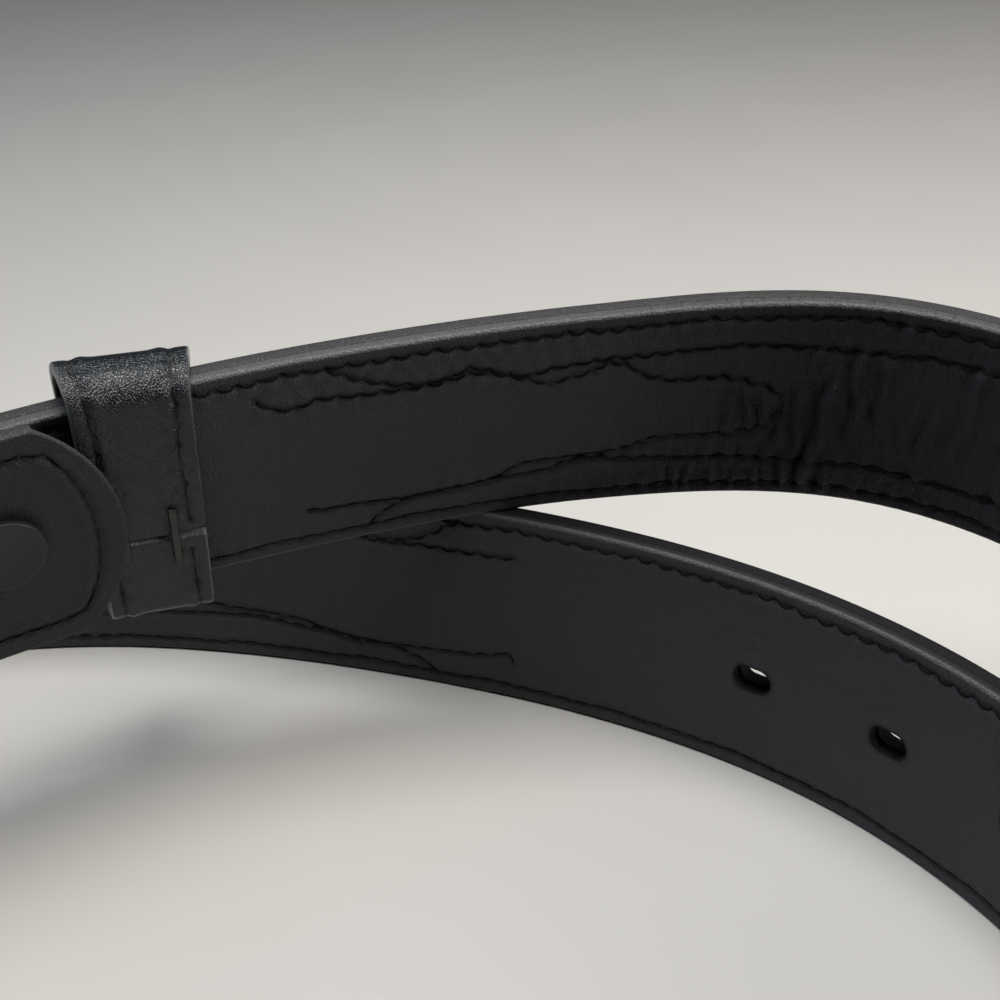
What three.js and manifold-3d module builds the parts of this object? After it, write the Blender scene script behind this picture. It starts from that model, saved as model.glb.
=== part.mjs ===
// A two-ply leather belt, coiled loosely on its lower edge. Millimetres, +Z up.
import * as THREE from 'three';
import { mergeVertices } from 'three/addons/utils/BufferGeometryUtils.js';
import Module from 'manifold-3d';

const wasm = await Module();
wasm.setup();

// Belt
const beltLength = 1200;
const strapWidth = 38.1;
const outerPly = 2.0;
const liningPly = 1.75;
const plyGap = 0.3;
const edgeBevel = 0.4;
const tipLength = 26;
const tipEndWidth = 9;
const fitGap = 0.3;

// Holes, counted from the tip
const holeCount = 5;
const holePitch = 25.4;
const tipToHole = 95;
const holeLength = 6.8;
const holeHeight = 4.6;

// Folded end: the outer ply goes round the bar and comes back as the tab
const tabLength = 70;
const tabSpread = 1.35;
const tabRise = 1.5;
const tabSlant = -3;
const tabRound = 10.5;
const slotLength = 14;
const liningStart = 16;

// Snap on the tab
const snapAlong = 50.4;
const snapRise = 2;
const snapRadius = 6.2;
const snapHeight = 1.2;

// Keeper loop
const keeperAlong = 73.95;
const keeperWidth = 17.8;
const keeperWall = 2.1;
const keeperFrontPlay = 1.0;
const keeperTopPlay = 2.3;
const keeperLowPlay = 2.2;
const keeperFrontRound = 4.9;
const keeperBackRound = 6.6;
const keeperLowRound = 2.6;
const keeperSkew = -7;
const keeperTaper = 0.09;
const keeperSplay = 0.15;
const seamUp = 12.4;
const seamGap = 0.5;

// Staples across the keeper's seam
const stapleLength = 11;
const stapleWidth = 1.5;
const stapleThickness = 0.6;
const stapleLeg = 1.3;
const stapleSide = 0.1;

// Where the staples sit: beside the keeper's middle as a share of its width, and above the seam's middle
// as a share of their length
const staples = [
  { name: 'staple_right', beside: 0.21, above: 0 },
  { name: 'staple_left', beside: -0.294, above: 0.12 },
];

// Buckle
const barRadius = 2.4;
const frameReach = 40;
const frameRail = 5;
const frameThickness = 4;
const frameSidePlay = 1.5;
const frameCorner = 6;
const prongWidth = 4;
const prongThickness = 3;
const prongPlay = 2;

// Fineness of the bends
const runStep = 8;
const foldSteps = 10;
const arcSteps = 8;

// How the belt lies, by share of its length from the buckle bar: how far it turns over a tenth of its
// length in degrees, how high its lower edge is as a share of the strap's width, and how many degrees its
// upper edge leans to the outside of the coil.
const lie = [
  { at: 0.000, turn: -56.2, lift: 0.815, lean: -5.2 },
  { at: 0.040, turn: -44.6, lift: 0.885, lean: -10.0 },
  { at: 0.080, turn: -20.5, lift: 0.949, lean: -9.6 },
  { at: 0.125, turn: -47.3, lift: 1.034, lean: -11.1 },
  { at: 0.165, turn: -85.7, lift: 1.092, lean: -7.9 },
  { at: 0.210, turn: -74.8, lift: 0.968, lean: -3.8 },
  { at: 0.260, turn: -64.9, lift: 0.796, lean: -3.4 },
  { at: 0.320, turn: -57.1, lift: 0.581, lean: -3.0 },
  { at: 0.400, turn: -43.1, lift: 0.308, lean: 0.0 },
  { at: 0.520, turn: -44.9, lift: 0.000, lean: 0.0 },
  { at: 0.625, turn: -74.3, lift: 0.000, lean: 0.0 },
  { at: 0.710, turn: -67.7, lift: 0.000, lean: 0.0 },
  { at: 0.775, turn: -21.4, lift: 0.000, lean: 0.0 },
  { at: 0.835, turn: -51.0, lift: 0.000, lean: 0.0 },
  { at: 0.885, turn: -75.5, lift: 0.000, lean: 0.0 },
  { at: 0.935, turn: -79.5, lift: 0.000, lean: 0.0 },
  { at: 1.000, turn: -62.9, lift: 0.000, lean: 0.0 },
];
const startHeading = 51.9;

const total = outerPly + plyGap + liningPly;
const halfTotal = total / 2;
const middle = strapWidth / 2;

// A smooth curve through one column of the table. A row that is zero is level there.
function slopeAt(column, i) {
  if (lie[i][column] === 0) return 0;
  const before = Math.max(i - 1, 0);
  const after = Math.min(i + 1, lie.length - 1);
  const left = i > before ? (lie[i][column] - lie[before][column]) / (lie[i].at - lie[before].at) : null;
  const right = after > i ? (lie[after][column] - lie[i][column]) / (lie[after].at - lie[i].at) : null;
  if (left === null) return right;
  if (right === null) return left;
  const leftSpan = lie[i].at - lie[before].at;
  const rightSpan = lie[after].at - lie[i].at;
  return (left * rightSpan + right * leftSpan) / (leftSpan + rightSpan);
}

function columnAt(column, share) {
  let i = 0;
  while (i < lie.length - 2 && share > lie[i + 1].at) i += 1;
  const span = lie[i + 1].at - lie[i].at;
  const t = (share - lie[i].at) / span;
  const startPart = (1 + 2 * t) * (1 - t) ** 2 * lie[i][column];
  const endPart = t * t * (3 - 2 * t) * lie[i + 1][column];
  const startSlope = t * (1 - t) ** 2 * span * slopeAt(column, i);
  const endSlope = t * t * (t - 1) * span * slopeAt(column, i + 1);
  return startPart + endPart + startSlope + endSlope;
}

// The line of the lower edge, stepped along the belt, with the directions along, across and inward.
const routeStep = beltLength / 600;
const route = [];
{
  const point = new THREE.Vector3();
  let heading = THREE.MathUtils.degToRad(startHeading);
  for (let i = 0; i <= 600; i += 1) {
    const share = i / 600;
    const lift = columnAt('lift', share) * strapWidth;
    const nextShare = Math.min(share + 1e-4, 1);
    const lastShare = nextShare - 2e-4;
    const rise = (columnAt('lift', nextShare) - columnAt('lift', lastShare)) * strapWidth;
    const slope = rise / (2e-4 * beltLength);
    const flat = Math.sqrt(1 - slope * slope);
    const along = new THREE.Vector3(Math.cos(heading) * flat, Math.sin(heading) * flat, slope);
    const level = new THREE.Vector3(Math.sin(heading), -Math.cos(heading), 0);
    const lean = THREE.MathUtils.degToRad(columnAt('lean', share));
    const inward = level.applyAxisAngle(along, -lean);
    const across = new THREE.Vector3().crossVectors(inward, along);
    point.z = lift;
    route.push({ point: point.clone(), along, across, inward });
    const turn = columnAt('turn', Math.min(share + 0.5 / 600, 1)) / 0.1;
    const nextHeading = heading + THREE.MathUtils.degToRad(turn) / 600;
    const midHeading = (heading + nextHeading) / 2;
    point.x += Math.cos(midHeading) * flat * routeStep;
    point.y += Math.sin(midHeading) * flat * routeStep;
    heading = nextHeading;
  }
}

function frameAt(along) {
  const place = THREE.MathUtils.clamp(along / routeStep, 0, 600);
  const i = Math.min(Math.floor(place), 599);
  const t = place - i;
  const from = route[i];
  const to = route[i + 1];
  const run = from.along.clone().lerp(to.along, t).normalize();
  const beyond = along - place * routeStep;
  const point = from.point.clone().lerp(to.point, t).addScaledVector(run, beyond);
  const inward = from.inward.clone().lerp(to.inward, t).normalize();
  const across = new THREE.Vector3().crossVectors(inward, run).normalize();
  return { point, along: run, across, inward };
}

// From belt places (along, across, depth) to space. Depth is measured inward from mid-thickness.
function toSpace(along, across, depth) {
  const frame = frameAt(along);
  return frame.point.addScaledVector(frame.across, across).addScaledVector(frame.inward, depth);
}

function bend(geometry) {
  const position = geometry.attributes.position;
  for (let i = 0; i < position.count; i += 1) {
    const p = toSpace(position.getX(i), position.getY(i), position.getZ(i));
    position.setXYZ(i, p.x, p.y, p.z);
  }
  return geometry;
}

// A straight piece set at one place on the belt, its own x, y, z lying along, across and inward.
function setAt(geometry, along, across, depth) {
  const frame = frameAt(along);
  const matrix = new THREE.Matrix4().makeBasis(frame.along, frame.across, frame.inward);
  matrix.setPosition(toSpace(along, across, depth));
  return geometry.applyMatrix4(matrix);
}

function bare(geometry) {
  const copy = geometry.clone();
  copy.deleteAttribute('normal');
  copy.deleteAttribute('uv');
  return mergeVertices(copy, 1e-5);
}

// A closed skin through rings of points, with flat ends.
function loft(rings) {
  const count = rings[0].length;
  const points = [];
  const faces = [];
  rings.forEach((ring) => ring.forEach((p) => points.push(p.x, p.y, p.z)));
  for (let r = 0; r < rings.length - 1; r += 1) {
    for (let k = 0; k < count; k += 1) {
      const a = r * count + k;
      const b = r * count + ((k + 1) % count);
      faces.push(a, b, a + count, b, b + count, a + count);
    }
  }
  const last = (rings.length - 1) * count;
  for (let k = 1; k < count - 1; k += 1) {
    faces.push(0, k + 1, k);
    faces.push(last, last + k, last + k + 1);
  }
  const geometry = new THREE.BufferGeometry();
  geometry.setAttribute('position', new THREE.Float32BufferAttribute(points, 3));
  geometry.setIndex(faces);
  return geometry;
}

function toManifold(geometry) {
  const merged = bare(geometry);
  const vertProperties = new Float32Array(merged.attributes.position.array);
  const triVerts = new Uint32Array(merged.index.array);
  return new wasm.Manifold(new wasm.Mesh({ numProp: 3, vertProperties, triVerts }));
}

function fromManifold(solid) {
  const mesh = solid.getMesh();
  const geometry = new THREE.BufferGeometry();
  geometry.setAttribute('position', new THREE.Float32BufferAttribute(mesh.vertProperties, 3));
  geometry.setIndex(Array.from(mesh.triVerts));
  return geometry;
}

function cut(geometry, cutters) {
  let solid = toManifold(geometry);
  cutters.forEach((cutter) => {
    solid = solid.subtract(toManifold(cutter));
  });
  return fromManifold(solid);
}

function join(geometries) {
  let solid = toManifold(geometries[0]);
  geometries.slice(1).forEach((other) => {
    solid = solid.add(toManifold(other));
  });
  return fromManifold(solid);
}

// A ring of one ply: low and high edges, back and face depths, bevelled at the two face edges.
// The face direction in the along and depth plane lets the ply turn round the bar.
function plyRing(station, thickness) {
  const { along, depth, faceAlong, faceDepth, low, high, slant = 0 } = station;
  const back = -thickness / 2;
  const shoulder = thickness / 2 - edgeBevel;
  const face = thickness / 2;
  const section = [
    [low, back],
    [high, back],
    [high, shoulder],
    [high - edgeBevel, face],
    [low + edgeBevel, face],
    [low, shoulder],
  ];
  return section.map(([across, out]) => {
    const place = along + faceAlong * out + slant * (across - middle);
    return toSpace(place, across, depth + faceDepth * out);
  });
}

function evenly(from, to, step) {
  const count = Math.max(Math.round(Math.abs(to - from) / step), 1);
  return Array.from({ length: count }, (unused, i) => from + ((to - from) * i) / count);
}

// Half the strap's width at the rounded tip.
function tipHalf(along) {
  const t = THREE.MathUtils.clamp((along - (beltLength - tipLength)) / tipLength, 0, 1);
  const end = tipEndWidth / 2;
  return end + (middle - end) * Math.sqrt(1 - t * t);
}

const tipStations = Array.from({ length: arcSteps + 1 }, (unused, i) => {
  const angle = (Math.PI / 2) * (i / arcSteps);
  return beltLength - tipLength * (1 - Math.sin(angle));
});

// Outer ply: from the tip to the bar, round the bar, and back as the tab.
const outerDepth = -halfTotal + outerPly / 2;
const stapleTop = keeperFrontPlay + keeperWall + stapleSide + stapleThickness;
const tabStandOff = stapleTop + fitGap;
const tabDepth = halfTotal + tabStandOff + outerPly / 2;
const foldRadius = (tabDepth - outerDepth) / 2;
const foldDepth = (tabDepth + outerDepth) / 2;
const tabHalf = middle + tabSpread;
const tabRadius = (tabHalf ** 2 + tabRound ** 2) / (2 * tabRound);
const tabCornerAngle = Math.asin(tabHalf / tabRadius);
const tabCorner = tabLength - tabRound;
const fullSlant = Math.tan(THREE.MathUtils.degToRad(tabSlant));

const outerStations = [];
[...tipStations].reverse().forEach((along) => {
  outerStations.push({ along, half: tipHalf(along), depth: outerDepth, faceAlong: 0, faceDepth: -1 });
});
evenly(beltLength - tipLength, 0, runStep).slice(1).forEach((along) => {
  outerStations.push({ along, half: middle, depth: outerDepth, faceAlong: 0, faceDepth: -1 });
});
for (let i = 0; i <= foldSteps; i += 1) {
  const angle = Math.PI * (i / foldSteps);
  outerStations.push({
    along: -foldRadius * Math.sin(angle),
    half: middle,
    depth: foldDepth - foldRadius * Math.cos(angle),
    faceAlong: -Math.sin(angle),
    faceDepth: -Math.cos(angle),
  });
}
evenly(0, tabCorner, runStep).slice(1).forEach((along) => {
  const share = along / tabCorner;
  const half = middle + tabSpread * share;
  const rise = tabRise * share;
  const slant = fullSlant * share;
  outerStations.push({ along, half, rise, slant, depth: tabDepth, faceAlong: 0, faceDepth: 1 });
});
for (let i = 0; i < arcSteps; i += 1) {
  const angle = tabCornerAngle * (1 - i / arcSteps);
  const along = tabLength - tabRadius * (1 - Math.cos(angle));
  const half = tabRadius * Math.sin(angle);
  const place = { along, half, rise: tabRise, slant: fullSlant };
  outerStations.push({ ...place, depth: tabDepth, faceAlong: 0, faceDepth: 1 });
}
const outerRings = outerStations.map((station) => {
  const centre = middle + (station.rise ?? 0);
  const edges = { low: centre - station.half, high: centre + station.half };
  return plyRing({ ...station, ...edges }, outerPly);
});

// Lining: from beside the bar to the tip, its face inward.
const liningDepth = halfTotal - liningPly / 2;
const liningAlongs = [...evenly(liningStart, beltLength - tipLength, runStep), ...tipStations];
const liningRings = liningAlongs.map((along) => {
  const half = tipHalf(along);
  const edges = { low: middle - half, high: middle + half };
  return plyRing({ along, depth: liningDepth, faceAlong: 0, faceDepth: 1, ...edges }, liningPly);
});

// An oblong outline, longer along its own x.
function oblong(length, height) {
  const radius = height / 2;
  const reach = length / 2 - radius;
  const shape = new THREE.Shape();
  shape.absarc(reach, 0, radius, -Math.PI / 2, Math.PI / 2, false);
  shape.absarc(-reach, 0, radius, Math.PI / 2, (3 * Math.PI) / 2, false);
  return shape;
}

function slab(shape, thickness, curveSegments) {
  const geometry = new THREE.ExtrudeGeometry(shape, { depth: thickness, bevelEnabled: false, curveSegments });
  return geometry.translate(0, 0, -thickness / 2);
}

const holeCutters = Array.from({ length: holeCount }, (unused, i) => {
  const along = beltLength - tipToHole - i * holePitch;
  return setAt(slab(oblong(holeLength, holeHeight), total * 2, arcSteps), along, middle, 0);
});

// The slot that lets the prong through the fold, on both of its sides.
const slotWidth = prongWidth + 2 * prongPlay;
const slotBack = foldRadius + outerPly;
const slotCutter = setAt(
  slab(oblong(2 * slotLength, slotWidth), 2 * slotBack + 2 * outerPly, arcSteps),
  0,
  middle,
  foldDepth,
);

// Keeper: a rounded loop in the across and depth plane, open at its seam on the inner wall.
// There is room inside it for the tip to slide in behind the strap.
const keeperBackPlay = total + 2 * fitGap - keeperFrontPlay;
const keeperFront = halfTotal + keeperFrontPlay + keeperWall;
const keeperBack = -halfTotal - keeperBackPlay - keeperWall;
const keeperTop = strapWidth + keeperTopPlay + keeperWall;
const keeperLow = -keeperLowPlay - keeperWall;

function corner(points, x, y, radius, from, steps) {
  for (let i = 0; i <= steps; i += 1) {
    const angle = from - (Math.PI / 2) * (i / steps);
    points.push(new THREE.Vector2(x + radius * Math.cos(angle), y + radius * Math.sin(angle)));
  }
}

// The loop's line at one inset from its outside, from above the seam round the back to below it.
function keeperLine(inset) {
  const top = keeperTop - inset;
  const low = keeperLow + inset;
  const front = keeperFront - inset;
  const back = keeperBack + inset;
  const easy = keeperFrontRound - inset;
  const wide = keeperBackRound - inset;
  const tight = keeperLowRound - inset;
  const points = [new THREE.Vector2(seamUp + seamGap / 2, front)];
  corner(points, top - easy, front - easy, easy, Math.PI / 2, arcSteps);
  corner(points, top - wide, back + wide, wide, 0, arcSteps);
  corner(points, low + tight, back + tight, tight, -Math.PI / 2, arcSteps / 2);
  corner(points, low + tight, front - tight, tight, -Math.PI, arcSteps / 2);
  points.push(new THREE.Vector2(seamUp - seamGap / 2, front));
  return points;
}

const keeperOutline = [...keeperLine(0), ...keeperLine(keeperWall).reverse()];

// The loop runs askew round the strap, narrows towards its lower side and is wider high up behind it.
function keeperPlaced(geometry) {
  geometry.translate(-keeperWidth / 2, -middle, 0);
  const position = geometry.attributes.position;
  for (let i = 0; i < position.count; i += 1) {
    const x = position.getX(i);
    const widening = 1 + (keeperTaper * position.getY(i)) / strapWidth;
    const behind = (keeperFront - position.getZ(i)) / (keeperFront - keeperBack);
    const upward = 0.5 + position.getY(i) / strapWidth;
    const splay = keeperSplay * (x + keeperWidth / 2) * behind * upward;
    position.setX(i, x * widening + splay);
  }
  const skew = Math.tan(THREE.MathUtils.degToRad(keeperSkew));
  geometry.applyMatrix4(new THREE.Matrix4().makeShear(skew, 0, 0, 0, 0, 0));
  geometry.translate(keeperAlong, middle, 0);
  return bend(geometry);
}

function keeperSolid() {
  const settings = { depth: keeperWidth, steps: 3, bevelEnabled: false };
  const geometry = new THREE.ExtrudeGeometry(new THREE.Shape(keeperOutline), settings);
  const toBelt = new THREE.Matrix4().set(0, 0, 1, 0, 1, 0, 0, 0, 0, 1, 0, 0, 0, 0, 0, 1);
  return keeperPlaced(geometry.applyMatrix4(toBelt));
}

// A staple: a flat bar over the seam with a leg down at each end. The grown copy makes its pockets.
function stapleSolid(staple, grow) {
  const width = stapleWidth + 2 * grow;
  const reach = stapleLength / 2 + grow;
  const leg = stapleThickness + 2 * grow;
  const down = -stapleLeg - grow;
  const top = stapleSide + stapleThickness;
  const inside = reach - leg;
  const shape = new THREE.Shape();
  shape.moveTo(-reach, down);
  shape.lineTo(-inside, down);
  shape.lineTo(-inside, stapleSide - grow);
  shape.lineTo(inside, stapleSide - grow);
  shape.lineTo(inside, down);
  shape.lineTo(reach, down);
  shape.lineTo(reach, top);
  shape.lineTo(-reach, top);
  const settings = { depth: width, bevelEnabled: false };
  const geometry = new THREE.ExtrudeGeometry(shape, settings);
  const toBelt = new THREE.Matrix4().set(0, 0, 1, 0, 1, 0, 0, 0, 0, 1, 0, 0, 0, 0, 0, 1);
  geometry.applyMatrix4(toBelt);
  const beside = keeperWidth * (0.5 + staple.beside);
  const above = seamUp + stapleLength * staple.above;
  geometry.translate(beside - width / 2, above, keeperFront);
  return keeperPlaced(geometry);
}

const pocketGap = fitGap;
const pockets = staples.map((staple) => stapleSolid(staple, pocketGap));

// Snap cap: a low round cap on the tab's face.
function snapSolid() {
  const profile = [
    [0, 0],
    [snapRadius, 0],
    [snapRadius, snapHeight * 0.35],
    [snapRadius * 0.93, snapHeight * 0.7],
    [snapRadius * 0.75, snapHeight * 0.92],
    [snapRadius * 0.4, snapHeight],
    [0, snapHeight],
  ].map(([x, y]) => new THREE.Vector2(x, y));
  const geometry = new THREE.LatheGeometry(profile, 28);
  geometry.rotateX(Math.PI / 2);
  return setAt(geometry, snapAlong, middle + snapRise, tabDepth + outerPly / 2 + fitGap);
}

// Buckle: a frame with a round bar inside the fold and a prong that rests on the far rail.
function buckleSolid() {
  const half = middle + frameSidePlay + frameRail;
  const inner = middle + frameSidePlay;
  const rim = new THREE.Shape();
  const far = -frameReach;
  const near = frameRail / 2;
  rim.moveTo(near, -half);
  rim.lineTo(near, half);
  rim.lineTo(far + frameCorner, half);
  rim.absarc(far + frameCorner, half - frameCorner, frameCorner, Math.PI / 2, Math.PI, false);
  rim.absarc(far + frameCorner, -half + frameCorner, frameCorner, Math.PI, (3 * Math.PI) / 2, false);
  const window = new THREE.Path();
  window.moveTo(near + 1, -inner);
  window.lineTo(far + frameRail, -inner);
  window.lineTo(far + frameRail, inner);
  window.lineTo(near + 1, inner);
  const opening = slab(new THREE.Shape(window.getPoints()), frameThickness * 2, 1);
  const frame = cut(slab(rim, frameThickness, arcSteps), [opening]);
  const bar = new THREE.CylinderGeometry(barRadius, barRadius, 2 * inner + frameRail, 20);
  const prongShape = new THREE.Shape();
  const prongTop = -(frameThickness / 2 + prongThickness);
  prongShape.moveTo(barRadius * 0.5, 0);
  prongShape.lineTo(barRadius * 0.5, prongTop + 1);
  prongShape.lineTo(0, prongTop);
  prongShape.lineTo(far + 1, prongTop);
  prongShape.lineTo(far + 0.5, -frameThickness / 2 + 0.5);
  prongShape.lineTo(far + frameRail, -frameThickness / 2 + 0.5);
  prongShape.lineTo(-barRadius * 2, 0);
  const prong = slab(prongShape, prongWidth, 1);
  prong.rotateX(Math.PI / 2);
  return setAt(join([frame, bar, prong]), 0, middle, foldDepth);
}

// The finished pieces
const blackLeather = new THREE.MeshStandardMaterial({ color: 0x1d1e1f, roughness: 0.62, metalness: 0 });
const liningLeather = new THREE.MeshStandardMaterial({ color: 0x1a1c1d, roughness: 0.72, metalness: 0 });
const blackEnamel = new THREE.MeshStandardMaterial({ color: 0x1b1d1e, roughness: 0.4, metalness: 0.2 });
const steel = new THREE.MeshStandardMaterial({ color: 0x8a8f8c, roughness: 0.4, metalness: 1 });

function piece(name, geometry, material) {
  const clean = bare(geometry);
  clean.computeVertexNormals();
  const mesh = new THREE.Mesh(clean, material);
  mesh.name = name;
  return mesh;
}

const belt = new THREE.Group();
belt.add(piece('strap', cut(loft(outerRings), [...holeCutters, slotCutter]), blackLeather));
belt.add(piece('lining', cut(loft(liningRings), holeCutters), liningLeather));
belt.add(piece('keeper', cut(keeperSolid(), pockets), blackLeather));
staples.forEach((staple) => {
  belt.add(piece(staple.name, stapleSolid(staple, 0), steel));
});
belt.add(piece('snap_cap', snapSolid(), blackEnamel));
belt.add(piece('buckle', buckleSolid(), steel));

// The origin is under the middle of the coil, on the surface that it stands on.
const box = new THREE.Box3().setFromObject(belt);
const centre = box.getCenter(new THREE.Vector3());
belt.position.set(-centre.x, -centre.y, -box.min.z);
const part = new THREE.Group();
part.add(belt);

export default part;
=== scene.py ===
# %% [markdown]
# # A two-ply leather belt, coiled loosely on its edge
# The belt is two long strips of black leather, an outer ply and a lining, sewn together along both edges and
# in a fancy pattern near each end. One end folds round the bar of the buckle and comes back as a rounded tab
# with a press stud. A closed loop of leather, the keeper, stands beside the tab. The other end has a row of
# punched holes and a rounded tip.
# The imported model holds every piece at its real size. Here each one gets its looks: rounded edges, thread,
# puckers, creases and grain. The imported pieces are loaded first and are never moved.

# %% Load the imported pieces
import math
from collections import namedtuple

import bpy
import numpy as np
from mathutils import Matrix, Vector
from mathutils.kdtree import KDTree


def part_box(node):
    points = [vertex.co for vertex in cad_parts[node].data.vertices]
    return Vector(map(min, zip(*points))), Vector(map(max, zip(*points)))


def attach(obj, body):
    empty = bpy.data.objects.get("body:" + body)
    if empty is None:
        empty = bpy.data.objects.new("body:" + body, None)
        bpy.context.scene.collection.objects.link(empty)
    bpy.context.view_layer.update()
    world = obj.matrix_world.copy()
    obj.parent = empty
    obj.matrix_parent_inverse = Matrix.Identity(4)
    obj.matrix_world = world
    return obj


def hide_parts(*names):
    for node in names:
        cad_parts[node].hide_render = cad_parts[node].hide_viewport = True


MILLIMETRE = 0.001

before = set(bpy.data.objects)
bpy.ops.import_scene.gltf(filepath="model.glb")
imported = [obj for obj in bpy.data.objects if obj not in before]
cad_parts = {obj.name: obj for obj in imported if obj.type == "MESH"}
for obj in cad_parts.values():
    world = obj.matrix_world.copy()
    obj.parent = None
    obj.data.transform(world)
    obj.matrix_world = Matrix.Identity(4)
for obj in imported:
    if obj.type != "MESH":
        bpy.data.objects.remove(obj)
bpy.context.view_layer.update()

# %% [markdown]
# The camera stands inside the coil's front half, a hand's width above the table, and looks down at the far
# wall of the ring. Its lens is a normal one of about 55 mm on a 36 mm sensor. It is set up first, so that
# every later step can be looked at from the right place.

# %% Camera
CAMERA_PLACE = Vector((27.96, -129.74, 171.9)) * MILLIMETRE
CAMERA_DOWN = math.radians(30.32)
LENS = 54.8

camera_data = bpy.data.cameras.new("camera")
camera_data.lens = LENS
camera_data.sensor_width = 36.0
camera_data.clip_start = 0.01
camera = bpy.data.objects.new("camera", camera_data)
camera.location = CAMERA_PLACE
camera.rotation_euler = (math.radians(90) - CAMERA_DOWN, 0, 0)
bpy.context.scene.collection.objects.link(camera)
bpy.context.scene.camera = camera
print("Camera height in mm:", CAMERA_PLACE.z / MILLIMETRE)

# %% [markdown]
# A belt is easiest to make flat and to bend afterwards, as on the bench. Any point of it has a place along
# the belt from the buckle's bar, a place across it from its lower edge, and a depth towards the inside of
# the coil. This cell works out the line that the lower edge follows, in the same few rows as the packed
# model: how much the belt turns, how high it lies and how far it leans.

# %% The line of the belt
BELT_LENGTH = 1200.0
STRAP_WIDTH = 38.1
OUTER_PLY = 2.0
LINING_PLY = 1.75
PLY_GAP = 0.3
EDGE_BEVEL = 0.4
FIT_GAP = 0.3
MIDDLE = STRAP_WIDTH / 2
HALF_TOTAL = (OUTER_PLY + PLY_GAP + LINING_PLY) / 2
LINE_STEPS = 600
LINE_STEP = BELT_LENGTH / LINE_STEPS
START_HEADING = 51.9

Lie = namedtuple("Lie", "at turn lift lean")
LIE = [
    Lie(0.000, -56.2, 0.815, -5.2),
    Lie(0.040, -44.6, 0.885, -10.0),
    Lie(0.080, -20.5, 0.949, -9.6),
    Lie(0.125, -47.3, 1.034, -11.1),
    Lie(0.165, -85.7, 1.092, -7.9),
    Lie(0.210, -74.8, 0.968, -3.8),
    Lie(0.260, -64.9, 0.796, -3.4),
    Lie(0.320, -57.1, 0.581, -3.0),
    Lie(0.400, -43.1, 0.308, 0.0),
    Lie(0.520, -44.9, 0.000, 0.0),
    Lie(0.625, -74.3, 0.000, 0.0),
    Lie(0.710, -67.7, 0.000, 0.0),
    Lie(0.775, -21.4, 0.000, 0.0),
    Lie(0.835, -51.0, 0.000, 0.0),
    Lie(0.885, -75.5, 0.000, 0.0),
    Lie(0.935, -79.5, 0.000, 0.0),
    Lie(1.000, -62.9, 0.000, 0.0),
]


def slope_at(column, i):
    here = LIE[i]
    value = getattr(here, column)
    if value == 0:
        return 0.0
    before = LIE[max(i - 1, 0)]
    after = LIE[min(i + 1, len(LIE) - 1)]
    if before is here:
        return (getattr(after, column) - value) / (after.at - here.at)
    left = (value - getattr(before, column)) / (here.at - before.at)
    if after is here:
        return left
    right = (getattr(after, column) - value) / (after.at - here.at)
    left_span = here.at - before.at
    right_span = after.at - here.at
    return (left * right_span + right * left_span) / (left_span + right_span)


def lie_at(column, share):
    i = 0
    while i < len(LIE) - 2 and share > LIE[i + 1].at:
        i += 1
    span = LIE[i + 1].at - LIE[i].at
    t = (share - LIE[i].at) / span
    ends = (1 + 2 * t) * (1 - t) ** 2 * getattr(LIE[i], column)
    ends += t * t * (3 - 2 * t) * getattr(LIE[i + 1], column)
    slopes = t * (1 - t) ** 2 * span * slope_at(column, i)
    slopes += t * t * (t - 1) * span * slope_at(column, i + 1)
    return ends + slopes


def belt_line():
    """The lower edge in small steps, with the directions along the belt and into the coil."""
    points, alongs, inwards = [], [], []
    point = Vector((0, 0, 0))
    heading = math.radians(START_HEADING)
    nudge = 1e-4
    for i in range(LINE_STEPS + 1):
        share = i / LINE_STEPS
        ahead = min(share + nudge, 1)
        rise = (lie_at("lift", ahead) - lie_at("lift", ahead - 2 * nudge)) * STRAP_WIDTH
        slope = rise / (2 * nudge * BELT_LENGTH)
        flat = math.sqrt(1 - slope * slope)
        along = Vector((math.cos(heading) * flat, math.sin(heading) * flat, slope))
        level = Vector((math.sin(heading), -math.cos(heading), 0))
        lean = math.radians(lie_at("lean", share))
        point.z = lie_at("lift", share) * STRAP_WIDTH
        points.append(point[:])
        alongs.append(along[:])
        inwards.append((Matrix.Rotation(-lean, 3, along) @ level)[:])
        turn = math.radians(lie_at("turn", min(share + 0.5 / LINE_STEPS, 1)) / 0.1) / LINE_STEPS
        point.x += math.cos(heading + turn / 2) * flat * LINE_STEP
        point.y += math.sin(heading + turn / 2) * flat * LINE_STEP
        heading += turn
    return np.array(points), np.array(alongs), np.array(inwards)


LINE_POINTS, LINE_ALONGS, LINE_INWARDS = belt_line()


def unit(vectors):
    return vectors / np.linalg.norm(vectors, axis=1, keepdims=True)


def belt_frame(along):
    """The point on the lower edge at each place, with the directions along, across and inward."""
    place = np.clip(along / LINE_STEP, 0, LINE_STEPS)
    i = np.minimum(place.astype(int), LINE_STEPS - 1)
    t = (place - i)[:, None]
    run = unit(LINE_ALONGS[i] * (1 - t) + LINE_ALONGS[i + 1] * t)
    point = LINE_POINTS[i] * (1 - t) + LINE_POINTS[i + 1] * t
    point = point + run * (along - place * LINE_STEP)[:, None]
    inward = unit(LINE_INWARDS[i] * (1 - t) + LINE_INWARDS[i + 1] * t)
    return point, run, unit(np.cross(inward, run)), inward


def belt_space(along, across, depth):
    point, _, up, inward = belt_frame(along)
    return point + up * across[:, None] + inward * depth[:, None]


# %% [markdown]
# The line starts at the bar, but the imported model's origin is under the middle of the coil. The lining's
# corners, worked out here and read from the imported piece, give the shift between the two exactly.

# %% Shift from the bar to the model's origin
LINING_START = 16.0
TIP_LENGTH = 26.0
TIP_END_WIDTH = 9.0
RUN_STEP = 8.0
LINING_BACK = HALF_TOTAL - LINING_PLY

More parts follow.
